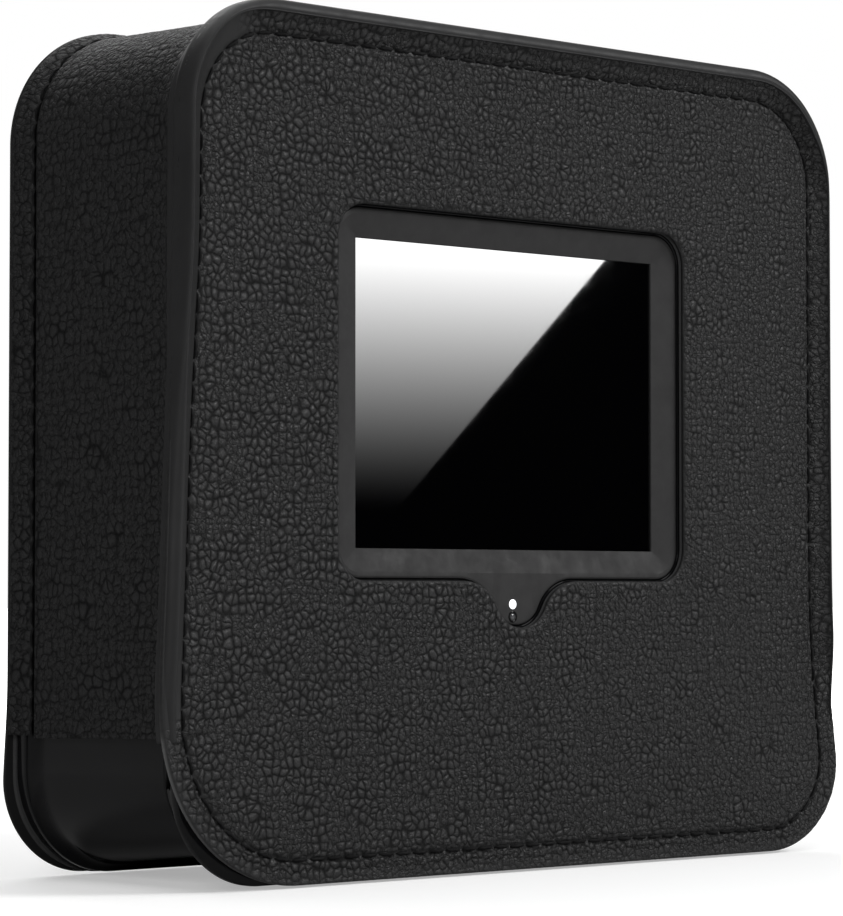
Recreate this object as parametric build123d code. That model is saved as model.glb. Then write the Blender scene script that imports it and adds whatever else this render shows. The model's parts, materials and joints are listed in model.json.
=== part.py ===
from build123d import *
import math
import os

# Touch-screen wireless hotspot in a slip-on leatherette sleeve. Millimetres.
# +X to the right seen from the front, the screen faces -Y, +Z up, origin under the middle.

# ---- driving dimensions -------------------------------------------------
DEV_HW = 60.3        # half width of the device's front and rear rims
DEV_Z0 = 0.35        # underside of the rims
DEV_Z1 = 115.8       # top of the rims
R_TOP = 15.0         # rim corner radius, top
R_BOT = 14.0         # rim corner radius, bottom
Y_DEV_F = -16.6      # device front plane
Y_DEV_R = 18.2       # device rear plane
Y_SEAM = -11.8       # joint between front housing and mid housing
RIM_F = 1.4          # front rim edge thickness
FILLET_F = 3.4       # depth of the hollow behind the front rim
Y_HOLLOW_R = 13.2    # start of the hollow ahead of the rear rim
Y_RIM_R = 15.9       # front edge of the rear rim
WAIST_F = (1.8, 1.6, 3.9)    # waist recess at the seam: sides, top, bottom
WAIST_R = (0.5, 1.0, 1.4)    # the same ahead of the rear rim
RIM_OUT = (1.0, 0.0, 0.0)    # how far the rear rim stands out past the front rim's outline
WALL = 1.8           # housing wall
CAV = (-55.4, 55.4, 6.3, 110.6)   # inner cavity
GAP = 0.1            # clearance between sleeve and device

Y_FIELD = -18.2      # front leather face
Y_CREST = -19.8      # forward lip of the front leather
Y_REAR = 19.8        # rear leather face
SKIN = 0.9           # leather thickness
BAND_T = 1.2         # side band thickness
SLEEVE_Z = 19.5      # where the side band ends above the table
SLEEVE_Z1 = 117.5    # top of the sleeve
LOW_HW = 63.2        # half width of the free lower corners of the panels
LOW_R = 15.0
PANEL_Z0 = 0.25      # underside of the leather panels
REAR_HW = 61.6       # half width of the rear leather face
REAR_LOW_HW = 62.2   # half width of its free lower corners

SCR_X, SCR_Z = -1.15, 66.0   # screen centre
BEZ_W, BEZ_H = 65.2, 50.4    # bezel outline
WIN_W, WIN_H = 56.4, 42.2    # visible glass
TON_R, TON_Z, TON_D = 4.2, 38.5, 9.7   # tongue below the bezel

PCB_Y0, PCB_Y1 = -3.0, -1.4
IO_Z0, IO_Z1 = 8.2, 9.8
CORNER = math.sqrt(0.5)

os.makedirs("parts", exist_ok=True)


# ---- helpers ------------------------------------------------------------
def bx(x0, x1, y0, y1, z0, z1):
    return Solid.make_box(x1 - x0, y1 - y0, z1 - z0, Plane(origin=(x0, y0, z0)))


def cyl(x, z, y0, y1, r):
    return Solid.make_cylinder(r, y1 - y0, Plane(origin=(x, y0, z), z_dir=(0, 1, 0)))


def cylz(x, y, z0, z1, r):
    return Solid.make_cylinder(r, z1 - z0, Plane(origin=(x, y, z0), z_dir=(0, 0, 1)))


def cylx(y, z, x0, x1, r):
    return Solid.make_cylinder(r, x1 - x0, Plane(origin=(x0, y, z), z_dir=(1, 0, 0)))


def rface(x0, x1, z0, z1, rt, rb, y):
    def p(x, z):
        return Vector(x, y, z)

    k = 1 - CORNER
    e = [
        Edge.make_line(p(x0 + rb, z0), p(x1 - rb, z0)),
        Edge.make_three_point_arc(p(x1 - rb, z0), p(x1 - k * rb, z0 + k * rb), p(x1, z0 + rb)),
        Edge.make_line(p(x1, z0 + rb), p(x1, z1 - rt)),
        Edge.make_three_point_arc(p(x1, z1 - rt), p(x1 - k * rt, z1 - k * rt), p(x1 - rt, z1)),
        Edge.make_line(p(x1 - rt, z1), p(x0 + rt, z1)),
        Edge.make_three_point_arc(p(x0 + rt, z1), p(x0 + k * rt, z1 - k * rt), p(x0, z1 - rt)),
        Edge.make_line(p(x0, z1 - rt), p(x0, z0 + rb)),
        Edge.make_three_point_arc(p(x0, z0 + rb), p(x0 + k * rb, z0 + k * rb), p(x0 + rb, z0)),
    ]
    return Face(Wire(e))


def rprism(x0, x1, z0, z1, rt, rb, y0, y1):
    return Solid.extrude(rface(x0, x1, z0, z1, rt, rb, y0), Vector(0, y1 - y0, 0))


def dev(o, y0, y1):
    """Prism of the rim outline moved inwards by o."""
    return rprism(-(DEV_HW - o), DEV_HW - o, DEV_Z0 + o, DEV_Z1 - o, R_TOP - o, R_BOT - o, y0, y1)


def poly(points):
    return [(points[i], points[(i + 1) % len(points)]) for i in range(len(points))]


def ring(segs, sides="LTRB", z_low=None, hw=DEV_HW, z0=DEV_Z0, z1=DEV_Z1, rt=R_TOP, rb=R_BOT):
    """Solid whose section runs round the rim outline. segs: closed section in (o, y), o inwards."""

    def face(f):
        edges = []
        for s in segs:
            pts = [f(*q) for q in s]
            edges.append(Edge.make_line(*pts) if len(pts) == 2 else Edge.make_three_point_arc(*pts))
        return Face(Wire(edges))

    lo = z0 + rb if z_low is None else z_low
    parts = []
    if "R" in sides:
        parts.append(Solid.extrude(face(lambda o, y: Vector(hw - o, y, lo)), Vector(0, 0, z1 - rt - lo)))
    if "L" in sides:
        parts.append(Solid.extrude(face(lambda o, y: Vector(-(hw - o), y, lo)), Vector(0, 0, z1 - rt - lo)))
    if "T" in sides:
        parts.append(Solid.extrude(face(lambda o, y: Vector(-(hw - rt), y, z1 - o)), Vector(2 * (hw - rt), 0, 0)))
        parts.append(Solid.revolve(face(lambda o, y: Vector(hw - o, y, z1 - rt)), 90.0,
                                   Axis((hw - rt, 0, z1 - rt), (0, -1, 0))))
        parts.append(Solid.revolve(face(lambda o, y: Vector(-(hw - o), y, z1 - rt)), 90.0,
                                   Axis((-(hw - rt), 0, z1 - rt), (0, 1, 0))))
    if "B" in sides:
        parts.append(Solid.extrude(face(lambda o, y: Vector(-(hw - rb), y, z0 + o)), Vector(2 * (hw - rb), 0, 0)))
        parts.append(Solid.revolve(face(lambda o, y: Vector(hw - o, y, z0 + rb)), 90.0,
                                   Axis((hw - rb, 0, z0 + rb), (0, 1, 0))))
        parts.append(Solid.revolve(face(lambda o, y: Vector(-(hw - o), y, z0 + rb)), 90.0,
                                   Axis((-(hw - rb), 0, z0 + rb), (0, -1, 0))))
    out = parts[0]
    for q in parts[1:]:
        out = out.fuse(q)
    return out


def recess(y):
    """Recess of the device's flank from the rim outline at depth y: sides, top, bottom."""
    if y <= Y_SEAM - FILLET_F:
        return (0.0, 0.0, 0.0)
    if y >= Y_RIM_R:
        return tuple(-r for r in RIM_OUT)
    if y < Y_SEAM:
        c = (Y_SEAM - y) / FILLET_F
        k = math.sqrt(max(0.0, 1 - c * c))
        return tuple(k * w for w in WAIST_F)
    if y <= Y_HOLLOW_R:
        t = (y - Y_SEAM) / (Y_HOLLOW_R - Y_SEAM)
        return tuple(f + (r - f) * t for f, r in zip(WAIST_F, WAIST_R))
    c = (y - Y_HOLLOW_R) / (Y_RIM_R - Y_HOLLOW_R)
    k = math.sqrt(max(0.0, 1 - c * c))
    return tuple(k * (w + r) - r for w, r in zip(WAIST_R, RIM_OUT))


def rwire(x0, x1, z0, z1, rt, rb, y):
    return rface(x0, x1, z0, z1, rt, rb, y).outer_wire()


def flank(grow, ys):
    """Ruled solid through the device outline at depths ys, grown outwards."""
    wires = []
    for y in ys:
        ox, ot, ob = (o - grow for o in recess(y))
        wires.append(rwire(-(DEV_HW - ox), DEV_HW - ox, DEV_Z0 + ob, DEV_Z1 - ot,
                           R_TOP - (ox + ot) / 2, R_BOT - (ox + ob) / 2, y))
    return Solid.make_loft(wires, True)


def tongue(grow, y0, y1):
    """Tongue below the bezel: a round tip blended into the bezel's lower edge."""
    zl = SCR_Z - BEZ_H / 2 - grow
    r = TON_R + grow
    d = TON_D
    a = TON_Z - zl
    rf = (d * d + a * a - r * r) / (2 * (r - a))
    cxr = SCR_X + d
    cz = zl - rf
    ux, uz = cxr - SCR_X, cz - TON_Z
    n = math.hypot(ux, uz)
    tx, tz = SCR_X + ux / n * r, TON_Z + uz / n * r

    def p(x, z):
        return Vector(x, y0, z)

    def mirror_x(x):
        return 2 * SCR_X - x

    mid = (math.pi / 2 + math.atan2(tz - cz, tx - cxr)) / 2
    mx, mz = cxr + rf * math.cos(mid), cz + rf * math.sin(mid)
    e = [
        Edge.make_line(p(mirror_x(cxr), zl + 1.5), p(cxr, zl + 1.5)),
        Edge.make_line(p(cxr, zl + 1.5), p(cxr, zl)),
        Edge.make_three_point_arc(p(cxr, zl), p(mx, mz), p(tx, tz)),
        Edge.make_three_point_arc(p(tx, tz), p(SCR_X, TON_Z - r), p(mirror_x(tx), tz)),
        Edge.make_three_point_arc(p(mirror_x(tx), tz), p(mirror_x(mx), mz), p(mirror_x(cxr), zl)),
        Edge.make_line(p(mirror_x(cxr), zl), p(mirror_x(cxr), zl + 1.5)),
    ]
    return Solid.extrude(Face(Wire(e)), Vector(0, y1 - y0, 0))


def bezel_outline(grow, y0, y1):
    b = rprism(SCR_X - BEZ_W / 2 - grow, SCR_X + BEZ_W / 2 + grow, SCR_Z - BEZ_H / 2 - grow,
               SCR_Z + BEZ_H / 2 + grow, 4.4 + grow, 4.4 + grow, y0, y1)
    return b.fuse(tongue(grow, y0, y1))


def tube(points, radii, d):
    """Round lead along straight runs joined by tangent arcs."""
    path = FilletPolyline(*points, radius=radii)
    start = path @ 0
    with BuildSketch(Plane(origin=start, z_dir=path % 0)) as s:
        Circle(d / 2)
    return sweep(s.sketch, path=path)


def one(shape):
    if isinstance(shape, (list, ShapeList)):
        return Compound(children=list(shape))
    return shape


NODES = {}


def keep(name, shape):
    NODES[name] = one(shape)


# ---- device housings ----------------------------------------------------
ARC = [math.radians(15 * k) for k in range(7)]
front_ys = [Y_DEV_F, Y_SEAM - FILLET_F] + [Y_SEAM - FILLET_F * math.cos(t) for t in ARC[1:]]
rear_ys = [Y_SEAM, Y_HOLLOW_R] + [Y_HOLLOW_R + (Y_RIM_R - Y_HOLLOW_R) * math.sin(t) for t in ARC[2::2]] + [Y_DEV_R]
cavity = lambda y0, y1: rprism(CAV[0], CAV[1], CAV[2], CAV[3], 10.0, 9.0, y0, y1)

POSTS = [(-47.6, 13.4), (47.6, 13.4), (-47.6, 103.2), (47.6, 103.2)]
PCB_POSTS = [(-40.0, 31.0), (40.0, 31.0), (-40.0, 99.0), (40.0, 99.0)]

front = flank(0.0, front_ys)
front = front.cut(cavity(Y_DEV_F + WALL, Y_SEAM + 1))
front = front.cut(bezel_outline(0.1, Y_DEV_F - 1, Y_DEV_F + WALL + 1))
for x, z in POSTS:
    front = front.fuse(cyl(x, z, Y_DEV_F + WALL - 0.4, 7.9, 3.4))
    front = front.cut(cyl(x, z, -6.0, 8.5, 1.55))
for x, z in PCB_POSTS:
    front = front.fuse(cyl(x, z, Y_DEV_F + WALL - 0.4, PCB_Y0, 2.6))
    front = front.cut(cyl(x, z, -12.0, PCB_Y0 + 0.5, 1.30))
keep("front_housing", front)

mid = flank(0.0, rear_ys)
mid = mid.cut(cavity(Y_SEAM - 1, 16.5))
mid = mid.cut(dev(4.0, 16.4, Y_DEV_R + 1))
keep("mid_housing", mid)

# ---- rear cover with the connector windows ------------------------------
LAN_X = [22.5, 5.0]
LAN_W, LAN_H = 16.0, 13.4
USB_X, USB_W, USB_H = -11.5, 14.5, 7.0
DC_X, DC_Z = 38.0, 15.3
SIM_X, SIM_W, SIM_Z = -28.5, 15.0, 12.2
PWR_X, PWR_Z = -38.9, 17.5
WPS_X, WPS_Z = -28.5, 20.3
REAR_IN = 16.4

rear = dev(4.1, REAR_IN, Y_DEV_R)
for x in LAN_X:
    rear = rear.cut(bx(x - LAN_W / 2 - 0.2, x + LAN_W / 2 + 0.2, 10, 20, IO_Z1 - 0.0, IO_Z1 + LAN_H + 0.2))
rear = rear.cut(rprism(USB_X - USB_W / 2 - 0.3, USB_X + USB_W / 2 + 0.3, IO_Z1 - 0.1, IO_Z1 + USB_H + 0.3, 0.6, 0.6, 10, 20))
rear = rear.cut(cyl(DC_X, DC_Z, 10, 20, 4.4))
rear = rear.cut(rprism(SIM_X - SIM_W / 2, SIM_X + SIM_W / 2, SIM_Z - 1.3, SIM_Z + 1.3, 1.2, 1.2, 10, 20))
rear = rear.cut(cyl(PWR_X, PWR_Z, 10, 20, 3.45))
rear = rear.cut(cyl(WPS_X, WPS_Z, 10, 20, 2.15))
for x, z in POSTS:
    rear = rear.fuse(cyl(x, z, 8.0, REAR_IN + 0.4, 3.7))
    rear = rear.cut(cyl(x, z, 11.0, 20, 3.0))
    rear = rear.cut(cyl(x, z, 7, 12, 1.7))
# cooling slots high on the cover
for i in range(6):
    zz = 84.0 + i * 3.2
    rear = rear.cut(rprism(-24, 24, zz, zz + 1.4, 0.69, 0.69, 10, 20))
keep("rear_cover", rear)

# ---- front window: bezel, glass, display --------------------------------
bez = bezel_outline(0.0, Y_DEV_F, Y_DEV_F + 2.4)
bez = bez.cut(bx(SCR_X - 30.2, SCR_X + 30.2, Y_DEV_F + 1.2, Y_DEV_F + 3, SCR_Z - 23.2, SCR_Z + 23.2))


def rect_wire(w, h, y):
    x0, x1, z0, z1 = SCR_X - w / 2, SCR_X + w / 2, SCR_Z - h / 2, SCR_Z + h / 2
    return Wire.make_polygon([Vector(x0, y, z0), Vector(x1, y, z0), Vector(x1, y, z1), Vector(x0, y, z1)])


slope = 1.0
bez = bez.cut(Solid.make_loft([rect_wire(BEZ_W - 1.4, BEZ_H - 1.4, Y_DEV_F),
                               rect_wire(WIN_W, WIN_H, Y_DEV_F + slope)], True))
bez = bez.cut(bx(SCR_X - WIN_W / 2, SCR_X + WIN_W / 2, Y_DEV_F - 0.5, Y_DEV_F + 2, SCR_Z - WIN_H / 2, SCR_Z + WIN_H / 2))
LED_X, LED_Z, LED_R = SCR_X - 0.3, 37.85, 0.9
SEN_X, SEN_Z, SEN_R = SCR_X - 0.3, 35.75, 0.95
bez = bez.cut(cyl(LED_X, LED_Z, -20, -10, LED_R + 0.02))
bez = bez.cut(cyl(SEN_X, SEN_Z, -20, -10, SEN_R + 0.02))
keep("display_bezel", bez)

keep("touch_glass", rprism(SCR_X - 30.1, SCR_X + 30.1, SCR_Z - 23.1, SCR_Z + 23.1, 0.8, 0.8, Y_DEV_F + 1.25, Y_DEV_F + 2.35))
keep("lcd_panel", bx(SCR_X - 30.0, SCR_X + 30.0, Y_DEV_F + 2.4, -12.6, SCR_Z - 23.0, SCR_Z + 23.0))
fr_l = bx(SCR_X - 31.2, SCR_X + 31.2, -12.55, -11.0, SCR_Z - 24.2, SCR_Z + 24.2)
fr_l = fr_l.cut(bx(SCR_X - 30.6, SCR_X + 30.6, -12.6, -11.6, SCR_Z - 23.6, SCR_Z + 23.6))
keep("display_frame", fr_l)
keep("backlight_sheet", bx(SCR_X - 30.0, SCR_X + 30.0, -12.5, -11.7, SCR_Z - 23.0, SCR_Z + 23.0))
keep("status_led_lens", cyl(LED_X, LED_Z, Y_DEV_F - 0.0, -13.0, LED_R))
ring_s = cyl(SEN_X, SEN_Z, Y_DEV_F - 0.0, -14.0, SEN_R).cut(cyl(SEN_X, SEN_Z, -20, -10, 0.62))
keep("light_sensor_bezel", ring_s)
keep("light_sensor_lens", cyl(SEN_X, SEN_Z, Y_DEV_F + 0.15, -14.0, 0.60))

# ---- boards -------------------------------------------------------------
pcb = bx(-46, 46, PCB_Y0, PCB_Y1, 25.5, 106.0)
for x, z in PCB_POSTS:
    pcb = pcb.cut(cyl(x, z, -5, 1, 1.45))
for x, z in POSTS:
    pcb = pcb.cut(cyl(x, z, -5, 1, 4.0))
keep("main_board", pcb)
io = bx(-43.4, 43.4, -10.0, 15.6, IO_Z0, IO_Z1)
keep("io_board", io)
keep("board_connector", bx(-16, 16, -8.4, -3.8, IO_Z1 + 0.02, 15.0).fuse(
    bx(-16, 16, -6.0, -3.8, 14.9, 31.0)).fuse(bx(-16, 16, -3.9, -3.03, 26.0, 31.0)))
keep("switch_board", bx(-43.2, -24.0, 3.1, 4.15, 14.4, 24.2).fuse(bx(-43.2, -36.6, 3.1, 4.15, IO_Z1 + 0.02, 14.5)))

keep("modem_shield", bx(8, 40, PCB_Y1 + 0.05, 1.6, 60, 92))
keep("wifi_shield", bx(-40, -10, PCB_Y1 + 0.05, 1.6, 62, 92))
hs = bx(-14, 14, PCB_Y1 + 0.9, 1.2, 33.5, 57.5)
for i in range(9):
    xx = -14 + i * 3.3
    hs = hs.fuse(bx(xx, xx + 1.2, 1.2, 9.0, 33.5, 57.5))
keep("cpu_heatsink", hs)
keep("cpu_chip", bx(-8, 8, PCB_Y1 + 0.02, PCB_Y1 + 0.88, 37.5, 53.5))
keep("memory_chips", [bx(20, 30, PCB_Y1 + 0.02, 0.0, 36, 49), bx(-31, -21, PCB_Y1 + 0.02, 0.0, 36, 49)])

# ---- battery between display and main board -----------------------------
keep("battery_pack", rprism(-28, 28, 36.0, 86.0, 2.0, 2.0, -10.2, -4.4))
keep("battery_foam", bx(-26, 26, -10.95, -10.25, 38, 84))
keep("battery_lead", tube([(0, -7.2, 86.05), (0, -7.2, 89.0), (6, -7.2, 93.0), (12, -6.4, 96.0), (12.0, -3.4, 96.0)],
                          [1.6, 2.0, 1.6], 1.8))
keep("battery_plug", bx(9.6, 14.4, -3.35 + 0.0, -3.05, 94.0, 98.0))

# ---- connectors on the I/O board ----------------------------------------
for i, x in enumerate(LAN_X):
    y0, y1 = -3.6, 17.9
    z0, z1 = IO_Z1 + 0.02, IO_Z1 + LAN_H
    jack = bx(x - LAN_W / 2, x + LAN_W / 2, y0, y1, z0, z1)
    jack = jack.cut(bx(x - 6.0, x + 6.0, 2.0, 20, z0 + 3.6, z0 + 11.2))
    jack = jack.cut(bx(x - 3.2, x + 3.2, 4.0, 20, z0 + 1.4, z0 + 4.0))
    keep(f"lan_port_{i + 1}", jack)
    pins = []
    for k in range(8):
        px = x - 3.57 + k * 1.02
        pins.append(bx(px - 0.2, px + 0.2, 2.1, 13.0, z0 + 10.4, z0 + 10.8))
    keep(f"lan_contacts_{i + 1}", pins)

u0, u1 = 4.0, 17.9
uz0, uz1 = IO_Z1 + 0.02, IO_Z1 + USB_H
usb = bx(USB_X - USB_W / 2, USB_X + USB_W / 2, u0, u1, uz0, uz1)
usb = usb.cut(bx(USB_X - 6.3, USB_X + 6.3, u0 + 0.5, 20, uz0 + 0.5, uz1 - 0.5))
keep("usb_shell", usb)
keep("usb_tongue", bx(USB_X - 5.6, USB_X + 5.6, u0 + 0.5, 15.6, uz0 + 3.4, uz0 + 5.2))

dc = bx(DC_X - 4.6, DC_X + 4.6, 4.0, 16.2, IO_Z1 + 0.02, IO_Z1 + 11.0).fuse(cyl(DC_X, DC_Z, 16.0, 17.9, 4.2))
dc = dc.cut(cyl(DC_X, DC_Z, 8.0, 20, 3.15))
keep("dc_jack", dc)
keep("dc_jack_pin", cyl(DC_X, DC_Z, 8.0, 17.0, 1.0))

# ---- SIM socket and tray ------------------------------------------------
sx0, sx1 = SIM_X - 7.0, SIM_X + 7.0
sock = bx(sx0, sx1, 0.0, 15.4, IO_Z1 + 0.02, SIM_Z + 1.5)
sock = sock.cut(bx(sx0 + 0.6, sx1 - 0.6, 0.8, 20, SIM_Z - 0.9, SIM_Z + 0.9))
keep("sim_socket", sock)
tray = bx(SIM_X - 6.25, SIM_X + 6.25, 1.4, 16.6, SIM_Z - 0.7, SIM_Z + 0.7)
tray = tray.cut(bx(SIM_X - 4.45, SIM_X + 4.45, 2.2, 14.6, SIM_Z - 0.05, SIM_Z + 1.0))
tray = tray.fuse(rprism(SIM_X - SIM_W / 2 + 0.15, SIM_X + SIM_W / 2 - 0.15, SIM_Z - 1.15, SIM_Z + 1.15, 1.1, 1.1, 16.55, 18.0))
tray = tray.cut(cyl(SIM_X + 5.6, SIM_Z, 16.9, 19, 0.5))
keep("sim_tray", tray)
card = bx(SIM_X - 4.4, SIM_X + 4.4, 2.25, 14.55, SIM_Z - 0.05, SIM_Z + 0.62)
keep("sim_card", card)

# ---- buttons and their switches -----------------------------------------

def button(name, x, z, r_cap, r_flange, stem_r):
    cap = cyl(x, z, 15.0, 17.95, r_cap).fuse(cyl(x, z, 14.9, 16.1, r_flange)).fuse(cyl(x, z, 10.2, 15.0, stem_r))
    keep(name + "_cap", cap)
    base = bx(x - 3.0, x + 3.0, 4.2, 8.2, z - 3.0, z + 3.0).cut(cyl(x, z, 5.6, 9, 1.75))
    keep(name + "_switch", base)
    keep(name + "_plunger", cyl(x, z, 7.0, 10.2, 1.6))


button("power", PWR_X, PWR_Z, 3.25, 4.0, 1.5)
button("wps", WPS_X, WPS_Z, 2.0, 2.8, 1.3)

# ---- antennas and leads -------------------------------------------------
keep("wifi_antenna_left", bx(-54.6, -53.8, -6.0, 10.0, 40.0, 84.0))
keep("wifi_antenna_right", bx(53.8, 54.6, -6.0, 10.0, 40.0, 84.0))
keep("cell_antenna_top", bx(-32.0, 32.0, -8.0, 10.0, 109.4, 110.2))
for side, name in ((-1, "left"), (1, "right")):
    run = [(53.75, 6.0, 62.0), (51.0, 6.0, 62.0), (48.0, 5.0, 66.0), (44.5, 0.6, 72.0), (40.6, 0.6, 72.0)]
    keep("antenna_lead_" + name, tube([(side * p[0], p[1], p[2]) for p in run], [1.2, 2.0, 1.6], 1.1))
keep("siren_speaker", cyl(39.5, 82.0, -10.5, -4.0, 9.0).fuse(cyl(39.5, 82.0, -11.5, -10.5, 7.5)))

# ---- screws, feet -------------------------------------------------------
scr = []
for x, z in POSTS:
    s = cyl(x, z, 11.02, 13.0, 2.75).fuse(cyl(x, z, -2.0, 11.05, 1.5))
    s = s.cut(cyl(x, z, 12.0, 14, 0.0001 + 1.0))
    scr.append(s)
keep("housing_screws", scr)
scr = []
for x, z in PCB_POSTS:
    s = cyl(x, z, PCB_Y1 + 0.02, 0.2, 2.2).fuse(cyl(x, z, -9.0, PCB_Y1 + 0.05, 1.25))
    s = s.cut(cyl(x, z, -0.5, 1.0, 0.7))
    scr.append(s)
keep("board_screws", scr)

foot_top = {-5.5: 3.2, 8.5: 2.3}
feet = []
for yc, zt in foot_top.items():
    f = rprism(-17, 17, 0, zt, 0.3, 0.3, yc - 3.0, yc + 3.0)
    feet.append(f)
# trim the feet to the sloping underside so that they seat on it
under = mid.fuse(front)
feet = [f.cut(under) for f in feet]
keep("rubber_feet", feet)

# ---- sleeve -------------------------------------------------------------
o_edge = 0.1


def panel(y0, y1, o):
    p = rprism(-(DEV_HW - o), DEV_HW - o, PANEL_Z0, DEV_Z1 - o, R_TOP - o, R_BOT, y0, y1)
    low = rprism(-LOW_HW, LOW_HW, PANEL_Z0, 60, 1, LOW_R, y0, y1).intersect(bx(-80, 80, y0 - 1, y1 + 1, -5, SLEEVE_Z - 0.1))
    return p.fuse(one(low))


window = bezel_outline(0.25, -30, -10)
skin = panel(Y_FIELD, Y_FIELD + SKIN, o_edge)
lip = ring(poly([(3.0, Y_FIELD), (o_edge, Y_CREST), (o_edge, Y_FIELD + 0.4), (3.0, Y_FIELD + SKIN)]), sides="LTR", z_low=SLEEVE_Z)
skin = skin.fuse(lip)
skin = skin.cut(window)
TH_O = 2.7
thread_hw, thread_z0, thread_z1, thread_r = DEV_HW - 2.9, 3.6, DEV_Z1 - 3.2, 12.0


def thread(y, r, hw, z0, z1, rc, sides="LTRB", z_low=None):
    seg = []
    for k in range(8):
        a0, a1 = math.radians(45 * k), math.radians(45 * (k + 1))
        seg.append(((r * math.cos(a0), y + r * math.sin(a0)), (r * math.cos(a1), y + r * math.sin(a1))))
    return ring(seg, sides=sides, z_low=z_low, hw=hw, z0=z0, z1=z1, rt=rc, rb=rc)


front_thread = thread(Y_FIELD + 0.25, 0.25, thread_hw, thread_z0, thread_z1, thread_r)
skin = skin.cut(thread(Y_FIELD + 0.25, 0.30, thread_hw, thread_z0, thread_z1, thread_r))
skin = skin.cut(ring(poly([(-0.3, -19), (0.3, -19), (0.3, Y_FIELD + 0.25), (-0.3, Y_FIELD + 0.25)]), hw=thread_hw, z0=thread_z0,
                     z1=thread_z1, rt=thread_r, rb=thread_r))
keep("sleeve_front_leather", skin)
keep("front_stitching", front_thread)

board = panel(Y_FIELD + SKIN, Y_DEV_F - GAP, o_edge).cut(window)
keep("sleeve_front_board", board)

rim = ring(poly([(0.05, Y_CREST), (-0.9, -19.5), (-1.5, -18.8), (-1.7, -17.8), (-1.7, -15.9), (-1.2, -15.0),
                 (-0.2, -14.4), (0.35, -14.4), (0.35, -14.9), (-0.1, -15.0), (-0.1, -16.6), (0.05, -17.0)]),
           sides="LTR", z_low=SLEEVE_Z)
keep("sleeve_front_rim", rim)

band_ys = [-14.3, -13.2, Y_SEAM, Y_HOLLOW_R, 14.4]
band = flank(0.15 + BAND_T, band_ys).cut(flank(0.15, [-14.4, -13.2, Y_SEAM, Y_HOLLOW_R, 14.5]))
band = one(band).intersect(bx(-80, 80, -30, 30, SLEEVE_Z, 130))
keep("sleeve_side_band", one(band))

rear_skin = rprism(-REAR_HW, REAR_HW, PANEL_Z0, SLEEVE_Z1 - 0.4, 17.0, R_BOT, Y_REAR - 0.85, Y_REAR)
low = rprism(-REAR_LOW_HW, REAR_LOW_HW, PANEL_Z0, 60, 1, R_BOT, Y_REAR - 0.85, Y_REAR).intersect(bx(-80, 80, 0, 30, -5, SLEEVE_Z))
rear_skin = rear_skin.fuse(one(low))
wrap = ring(poly([(-1.3, Y_REAR - 0.5), (-1.7, 18.5), (-1.7, 16.2), (-1.2, 15.0), (-0.1, 15.0), (-0.4, 15.45),
                  (-1.15, 15.8), (-1.15, Y_REAR - 0.5)]), sides="LTR", z_low=SLEEVE_Z)
rear_skin = rear_skin.fuse(wrap)
PW = dict(x0=-44.5, x1=44.5, z0=8.4, z1=25.4)
port_window = rprism(PW["x0"], PW["x1"], PW["z0"], PW["z1"], 4.0, 4.0, 10, 30)
vent_window = rprism(-26, 26, 81.5, 104.0, 4.0, 4.0, 10, 30)
rear_skin = rear_skin.cut(port_window).cut(vent_window)
keep("sleeve_rear_leather", rear_skin)
rb = rprism(-(DEV_HW + 1.0), DEV_HW + 1.0, PANEL_Z0, DEV_Z1 + 0.6, R_TOP + 0.8, R_BOT, Y_DEV_R + GAP, Y_REAR - 0.87)
rb = rb.cut(port_window).cut(vent_window)
keep("sleeve_rear_board", rb)
keep("rear_stitching", thread(14.7, 0.27, DEV_HW + 0.55, 3.0, DEV_Z1 + 0.55, R_TOP + 0.55, sides="LTR", z_low=SLEEVE_Z))

# ---- write --------------------------------------------------------------
for old in os.listdir("parts"):
    if old.endswith(".step"):
        os.remove(os.path.join("parts", old))
for name, shape in NODES.items():
    export_step(shape, f"parts/{name}.step")
print(len(NODES), "nodes")
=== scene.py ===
import bpy
import json
import math
import numpy as np
from mathutils import Vector, Matrix


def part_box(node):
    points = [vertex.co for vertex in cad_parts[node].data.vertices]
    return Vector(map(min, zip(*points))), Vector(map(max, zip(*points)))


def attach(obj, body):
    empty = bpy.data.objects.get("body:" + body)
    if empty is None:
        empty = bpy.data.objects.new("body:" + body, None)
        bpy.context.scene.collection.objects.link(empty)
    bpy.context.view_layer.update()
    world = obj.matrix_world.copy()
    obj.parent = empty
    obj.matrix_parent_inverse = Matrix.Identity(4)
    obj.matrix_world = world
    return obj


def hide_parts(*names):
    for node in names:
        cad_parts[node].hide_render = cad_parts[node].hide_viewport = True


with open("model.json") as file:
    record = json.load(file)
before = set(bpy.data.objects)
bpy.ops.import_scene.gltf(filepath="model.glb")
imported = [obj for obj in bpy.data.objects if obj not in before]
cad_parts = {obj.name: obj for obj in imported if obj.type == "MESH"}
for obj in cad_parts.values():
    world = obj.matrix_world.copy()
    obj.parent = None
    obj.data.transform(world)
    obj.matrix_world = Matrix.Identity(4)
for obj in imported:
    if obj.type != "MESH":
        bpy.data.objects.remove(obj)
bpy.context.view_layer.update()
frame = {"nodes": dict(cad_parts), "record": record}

MM = 0.001
RNG = np.random.default_rng(7)
scene = bpy.context.scene

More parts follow.
